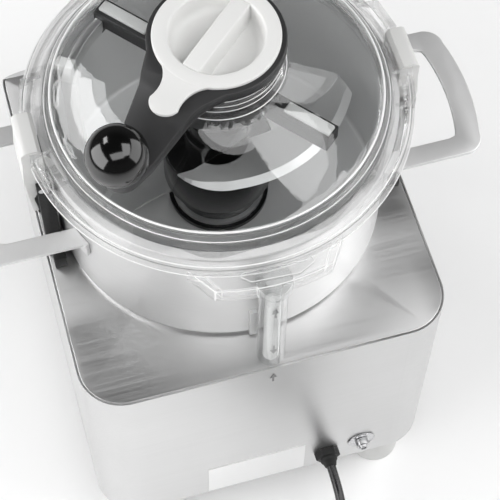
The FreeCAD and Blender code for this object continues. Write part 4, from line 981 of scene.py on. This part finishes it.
@dataclass
class Softened:
    """Moulded and folded parts: the CAD solid with its real edge radii."""

    frame: dict
    link: Point = (-53.0, -20.0)
    link_radius: float = 100.0
    head: tuple[Point, ...] = ((-27.0, 132.0), (-23.0, 134.5), (20.0, 133.0), (22.0, 135.5),
                               (15.5, 141.0), (-16.5, 142.8), (-28.5, 137.0))
    head_rise: float = 3.0

    def piece(self, node: str, slot: Slot, body: str, width: float, finish: Finish | None = None,
              test: Callable[[Vector], bool] = lambda place: True) -> None:
        """Makes one part with rounded edges.

        Args:
            node: the CAD node that it stands for.
            slot: the record's slot.
            body: the body that it rides on.
            width: width of the rounding.
            finish: its finish, or None for the slot's.
            test: picks edges by their middle.
        """
        piece = Mesh(node + "_part").take(self.frame["nodes"][node]).soften(width, 40, 3, test)
        piece.build(finish or FINISHES[slot], slot, body, node)

    def build(self) -> None:
        """Makes all softened parts."""
        self.piece("lever_arm", Slot.LEVER, "scraper", 1.0)
        self.carrier()
        self.piece("bar_wipers", Slot.WHITE, "scraper", 1.6)
        self.visor()
        self.piece("interlock_tube", Slot.CLEAR, "lid", 0.8, TUBE)
        self.piece("top_plate", Slot.SHEET, "base", 0.4)
        self.piece("blade_collar", Slot.HUB, "rotor", 0.3)
        for side, body in (("left", "latch_left"), ("right", "latch_right")):
            self.piece(f"latch_clip_{side}", Slot.GREY, body, 2.2, None, self.on_clip)
            self.piece(f"latch_base_{side}", Slot.BLACK, "base", 0.8, None, self.on_base)

    def visor(self) -> None:
        """Makes the clear shelf and the head over the tube; white edges stand in for the light they catch."""
        piece = Mesh("visor_part").take(self.frame["nodes"]["visor"]).soften(0.7, 40, 3)
        head = Mesh("head")
        low = RIM - 2.8
        head.prism(self.head, low, low + self.head_rise)
        head.soften(3.0, 40, 4, lambda place: low + 0.1 < place.z < low + self.head_rise - 0.1)
        head.soften(1.0, 60, 3, lambda place: place.z > low + self.head_rise - 0.1)
        # Rounded faces of shelf and head take the painted-highlight finish.
        for part in (piece, head):
            for face in part.rounds:
                face.material_index = 1
        piece.add(head).build(FINISHES[Slot.CLEAR], Slot.CLEAR, "lid", "visor", extra=(PAINTED_HIGHLIGHT_EDGE,))

    def carrier(self) -> None:
        """Makes the scraper's carrier; its link along the wall has a steel finish, to show less."""
        piece = Mesh("scraper_carrier_part").take(self.frame["nodes"]["scraper_carrier"]).soften(0.6, 40, 3)
        first, last = self.link
        for face in piece.bm.faces:
            center = face.calc_center_median()
            bearing = math.degrees(math.atan2(center.y, center.x))
            face.material_index = int(center.xy.length > self.link_radius and first < bearing < last)
        piece.build(FINISHES[Slot.LEVER], Slot.LEVER, "scraper", "scraper_carrier",
                    extra=(FINISHES[Slot.BOWL],))

    @staticmethod
    def on_clip(place: Vector) -> bool:
        """Picks the clip's outer edges, away from its hollow and its pin."""
        return abs(place.y) > 15.5 and abs(place.x) > 125.2 or place.z > RIM + 8

    @staticmethod
    def on_base(place: Vector) -> bool:
        """Picks the edges of the latch post away from its pin."""
        return math.hypot(abs(place.x) - 130, place.z - PLATE - 91) > 6


@dataclass
class RearFittings:
    """Cable gland and earth terminal on the rear face."""

    wall: float = 151.0
    gland: Point = (-48.0, PLATE - 190)
    flats: float = 17.6
    nut: float = 6.5
    barrel: float = 7.0
    length: float = 14.0
    cable: float = 3.8
    terminal: Point = (-77.0, PLATE - 183)

    def place(self, piece: Mesh, at: Point) -> Mesh:
        """Turns a piece made about Z to point out of the rear face at an X and Z, and returns it."""
        return piece.move(shifted(at[0], self.wall, at[1]) @ turned(-90, "X"))

    def gland_piece(self) -> None:
        """Makes the gland: hexagon, tapered nose round the cable and the nut behind the wall."""
        corner = self.flats / math.sqrt(3)
        piece = Mesh("gland")
        piece.prism(arc((0, 0), corner, 0, 300, 5), 0.05, self.nut)
        piece.soften(0.9, 40, 3, lambda place: place.z > self.nut - 0.1)
        nose = [(self.cable, -13.5), (self.barrel, -13.5), (self.barrel, -1.6), (self.barrel, self.nut)]
        nose += arc((self.barrel - 2.5, self.nut + 1.5), 2.5, 0, 60, 5)
        nose += [(self.cable + 0.9, self.length - 0.6), (self.cable + 0.3, self.length),
                 (self.cable, self.length)]
        piece.add(Mesh("nose").lathe(nose, 64))
        back = Mesh("back")
        back.prism(arc((0, 0), corner, 0, 300, 5), -6.5, -1.6)
        self.place(piece.add(back), self.gland)
        piece.build(FINISHES[Slot.BLACK], Slot.BLACK, "base", "gland_nut", "cable_gland")

    def terminal_piece(self) -> None:
        """Makes the terminal: dished washer, nut and hollow stud end."""
        washer = [(3.0, 0.05), (10.8, 0.05), (11.4, 0.9), (11.0, 1.5), (9.8, 0.9), (3.0, 0.9)]
        self.place(Mesh("terminal_dish").lathe(washer, 64), self.terminal).build(
            FINISHES[Slot.SHAFT], Slot.SHAFT, "base", "terminal_washer", smooth=25)
        post = [(0, -9.5), (3.0, -9.5), (3.0, 1.0), (4.9, 1.0), (5.3, 1.4), (5.3, 6.2), (4.8, 6.8),
                (3.6, 6.8), (3.6, 8.4), (3.2, 8.8), (2.2, 8.8), (2.0, 5.0), (0, 5.0)]
        self.place(Mesh("terminal_stud").lathe(post, 48), self.terminal).build(
            FINISHES[Slot.SHAFT], Slot.SHAFT, "base", "terminal_post", smooth=25)

    def build(self) -> None:
        """Makes the rear fittings."""
        self.gland_piece()
        self.terminal_piece()


@dataclass
class Cable:
    """The power cable: free run, put-away coil and the end that goes to the plug."""

    diameter: float = 0.0075
    coil_center: Point = (-0.0375, 0.3205)
    turns: tuple[float, float, float] = (0.0485, 0.041, 0.0335)
    neck: float = 0.3345
    route: tuple[tuple[float, float, float], ...] = (
        (-48.0, 165.0, 63.0), (-48.0, 178.5, 63.0), (-47.5, 194.0, 59.0), (-46.0, 208.0, 49.0),
        (-44.0, 219.5, 32.5), (-41.0, 230.5, 17.5), (-36.0, 244.5, 7.5), (-28.5, 259.0, 4.0),
    )

    def coil(self) -> list[Vector]:
        """Points of the coil, from the outer turn on the floor inwards and back out on top.

        Returns:
            The points in metres.
        """
        points = []
        start = -58.0
        low = self.diameter / 2 + 0.00025
        high = low + self.diameter * 1.0
        spans = 20
        for layer, radii in ((low, self.turns), (high, self.turns[::-1])):
            for index, radius in enumerate(radii):
                following = radii[index + 1] if index + 1 < len(radii) else radius
                for step in range(spans):
                    part = step / spans
                    ease = max(0.0, (part - 0.75) / 0.25)
                    ease = ease * ease * (3 - 2 * ease)
                    level = layer
                    if layer == low and index == 2:
                        level = low + (high - low) * ease
                    angle = math.radians(start + 360 * part)
                    reach = radius + (following - radius) * ease
                    points.append(Vector((self.coil_center[0] + reach * math.cos(angle),
                                          self.coil_center[1] + reach * math.sin(angle), level)))
        return points

    def points(self) -> list[Vector]:
        """The whole route.

        Returns:
            The points in metres.
        """
        run = [Vector(point) * MM for point in self.route]
        return run + self.coil() + self.tail()

    def tail(self) -> list[Vector]:
        """The last stretch over the coil to the plug.

        Returns:
            The points in metres.
        """
        x, y = self.coil_center
        side = x + self.turns[0]
        last = [(-40, 0.0118), (-22, 0.0124)]
        points = [Vector((x + self.turns[0] * math.cos(math.radians(a)),
                          y + self.turns[0] * math.sin(math.radians(a)), z)) for a, z in last]
        return points + [Vector((side, y - 0.003, 0.0145)), Vector((side, y + 0.006, 0.0172)),
                         Vector((side, self.neck, 0.018))]

    def build(self) -> bpy.types.Object:
        """Makes the cable as one curve.

        Returns:
            The curve object.
        """
        points = self.points()
        curve = bpy.data.curves.new("power_cable", "CURVE")
        curve.dimensions = "3D"
        spline = curve.splines.new("NURBS")
        spline.points.add(len(points) - 1)
        for knot, point in zip(spline.points, points):
            knot.co = (*point, 1)
            knot.radius = self.diameter / 2
        spline.order_u = 3
        spline.use_endpoint_u = True
        spline.resolution_u = 6
        curve.bevel_depth = 1.0
        curve.bevel_resolution = 6
        curve.use_fill_caps = True
        thing = bpy.data.objects.new("power_cable", curve)
        bpy.context.scene.collection.objects.link(thing)
        curve.materials.append(FINISHES[Slot.CABLE].make())
        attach(thing, "base")
        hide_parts("cable_run", "cable_coil")
        length = self.length(thing)
        LOG.info("cable length %.3f m", length)
        return thing

    @staticmethod
    def length(thing: bpy.types.Object) -> float:
        """Measures the curve's centreline.

        Args:
            thing: the curve object.

        Returns:
            Its length in metres.
        """
        depth = thing.data.bevel_depth
        thing.data.bevel_depth = 0
        graph = bpy.context.evaluated_depsgraph_get()
        mesh = thing.evaluated_get(graph).to_mesh()
        total = sum((mesh.vertices[e.vertices[0]].co - mesh.vertices[e.vertices[1]].co).length
                    for e in mesh.edges)
        thing.evaluated_get(graph).to_mesh_clear()
        thing.data.bevel_depth = depth
        return total


@dataclass
class Studio:
    """Floor, light and camera."""

    lens: float = 120.0
    place: tuple[float, float, float] = (0.1613, 0.6134, 1.3279)
    target: tuple[float, float, float] = (-0.0090, 0.0549, 0.2530)
    roll: float = 1.279
    horizon: float = 1.6
    zenith: float = 0.34
    floor_half: float = 4.0
    lamps: tuple[tuple, ...] = (
        ("left", (1.6, 0.1, 0.95), (0, 0, 0.3), (2.2, 1.3), 34),
        ("right", (-1.6, 0.3, 0.95), (0, 0, 0.3), (2.2, 1.3), 19),
        ("roof", (-1.3, 0.7, 2.3), (-1.3, 0.7, 0), (1.4, 1.8), 25),
        ("rear_roof", (0.2, 1.35, 2.3), (0.2, 1.35, 0), (1.9, 1.1), 18),
        ("front_roof", (1.15, -1.6, 2.3), (1.15, -1.6, 0), (0.6, 1.4), 16),
    )

    def floor(self) -> None:
        """Lays the pale floor."""
        shape = Mesh("floor")
        half = self.floor_half
        shape.prism([(-half, -half), (half, -half), (half, half), (-half, half)], -0.01, 0.0)
        mesh = bpy.data.meshes.new("floor")
        shape.bm.to_mesh(mesh)
        shape.bm.free()
        thing = bpy.data.objects.new("floor", mesh)
        bpy.context.scene.collection.objects.link(thing)
        mesh.materials.append(Plastic("floor_finish", (0.96, 0.96, 0.96), 0.5, 0.02, tint=0.0).make())

    def light(self) -> None:
        """Sets the soft studio light."""
        world = bpy.data.worlds.new("studio")
        bpy.context.scene.world = world
        world.use_nodes = True
        tree = world.node_tree
        back = tree.nodes["Background"]
        place = node(tree, "TexCoord")
        split = node(tree, "SeparateXYZ")
        fade = node(tree, "MapRange", From_Min=0.25, From_Max=0.8, To_Min=self.horizon,
                    To_Max=self.zenith)
        fade.interpolation_type = "SMOOTHSTEP"
        join(tree, (place, "Generated", split, "Vector"), (split, "Z", fade, "Value"),
             (fade, "Result", back, "Strength"))
        for name, place, target, size, power in self.lamps:
            self.lamp(name, place, target, size, power)
        bpy.context.scene.view_settings.view_transform = "Standard"

    @staticmethod
    def lamp(name: str, place: Sequence[float], target: Sequence[float], size: Point,
             power: float) -> None:
        """Adds one softbox.

        Args:
            name: name of the lamp.
            place: where it hangs.
            target: what it points at.
            size: its width and height in metres.
            power: its power in watts.
        """
        data = bpy.data.lights.new(name, "AREA")
        data.shape = "RECTANGLE"
        data.size, data.size_y = size
        data.energy = power
        lamp = bpy.data.objects.new(name, data)
        bpy.context.scene.collection.objects.link(lamp)
        lamp.location = place
        lamp.rotation_euler = (Vector(target) - Vector(place)).to_track_quat("-Z", "Y").to_euler()

    def camera(self) -> None:
        """Sets the camera to the photograph's view."""
        data = bpy.data.cameras.new("camera")
        data.lens = self.lens
        data.sensor_width = 36.0
        camera = bpy.data.objects.new("camera", data)
        bpy.context.scene.collection.objects.link(camera)
        ahead = (Vector(self.target) - Vector(self.place)).normalized()
        right = ahead.cross(Vector((0, 0, 1))).normalized()
        up = right.cross(ahead)
        tilt = math.radians(self.roll)
        image_right = right * math.cos(tilt) + up * math.sin(tilt)
        image_up = up * math.cos(tilt) - right * math.sin(tilt)
        turn = Matrix((image_right, image_up, -ahead)).transposed().to_4x4()
        camera.matrix_world = Matrix.Translation(self.place) @ turn
        bpy.context.scene.camera = camera


def main() -> None:
    """Builds the scene in order."""
    logging.basicConfig(level=logging.INFO, format="%(name)s: %(message)s")
    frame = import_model()
    studio = Studio()
    studio.camera()
    Cable().build()
    Carried(frame).dress()
    Bowl().build()
    Rotor().build()
    Lid(frame).build()
    Softened(frame).build()
    RearFittings().build()
    Knob().build()
    WallWiper().build()
    Cap().build()
    studio.floor()
    studio.light()
    bpy.context.view_layer.update()


if __name__ == "__main__":
    main()
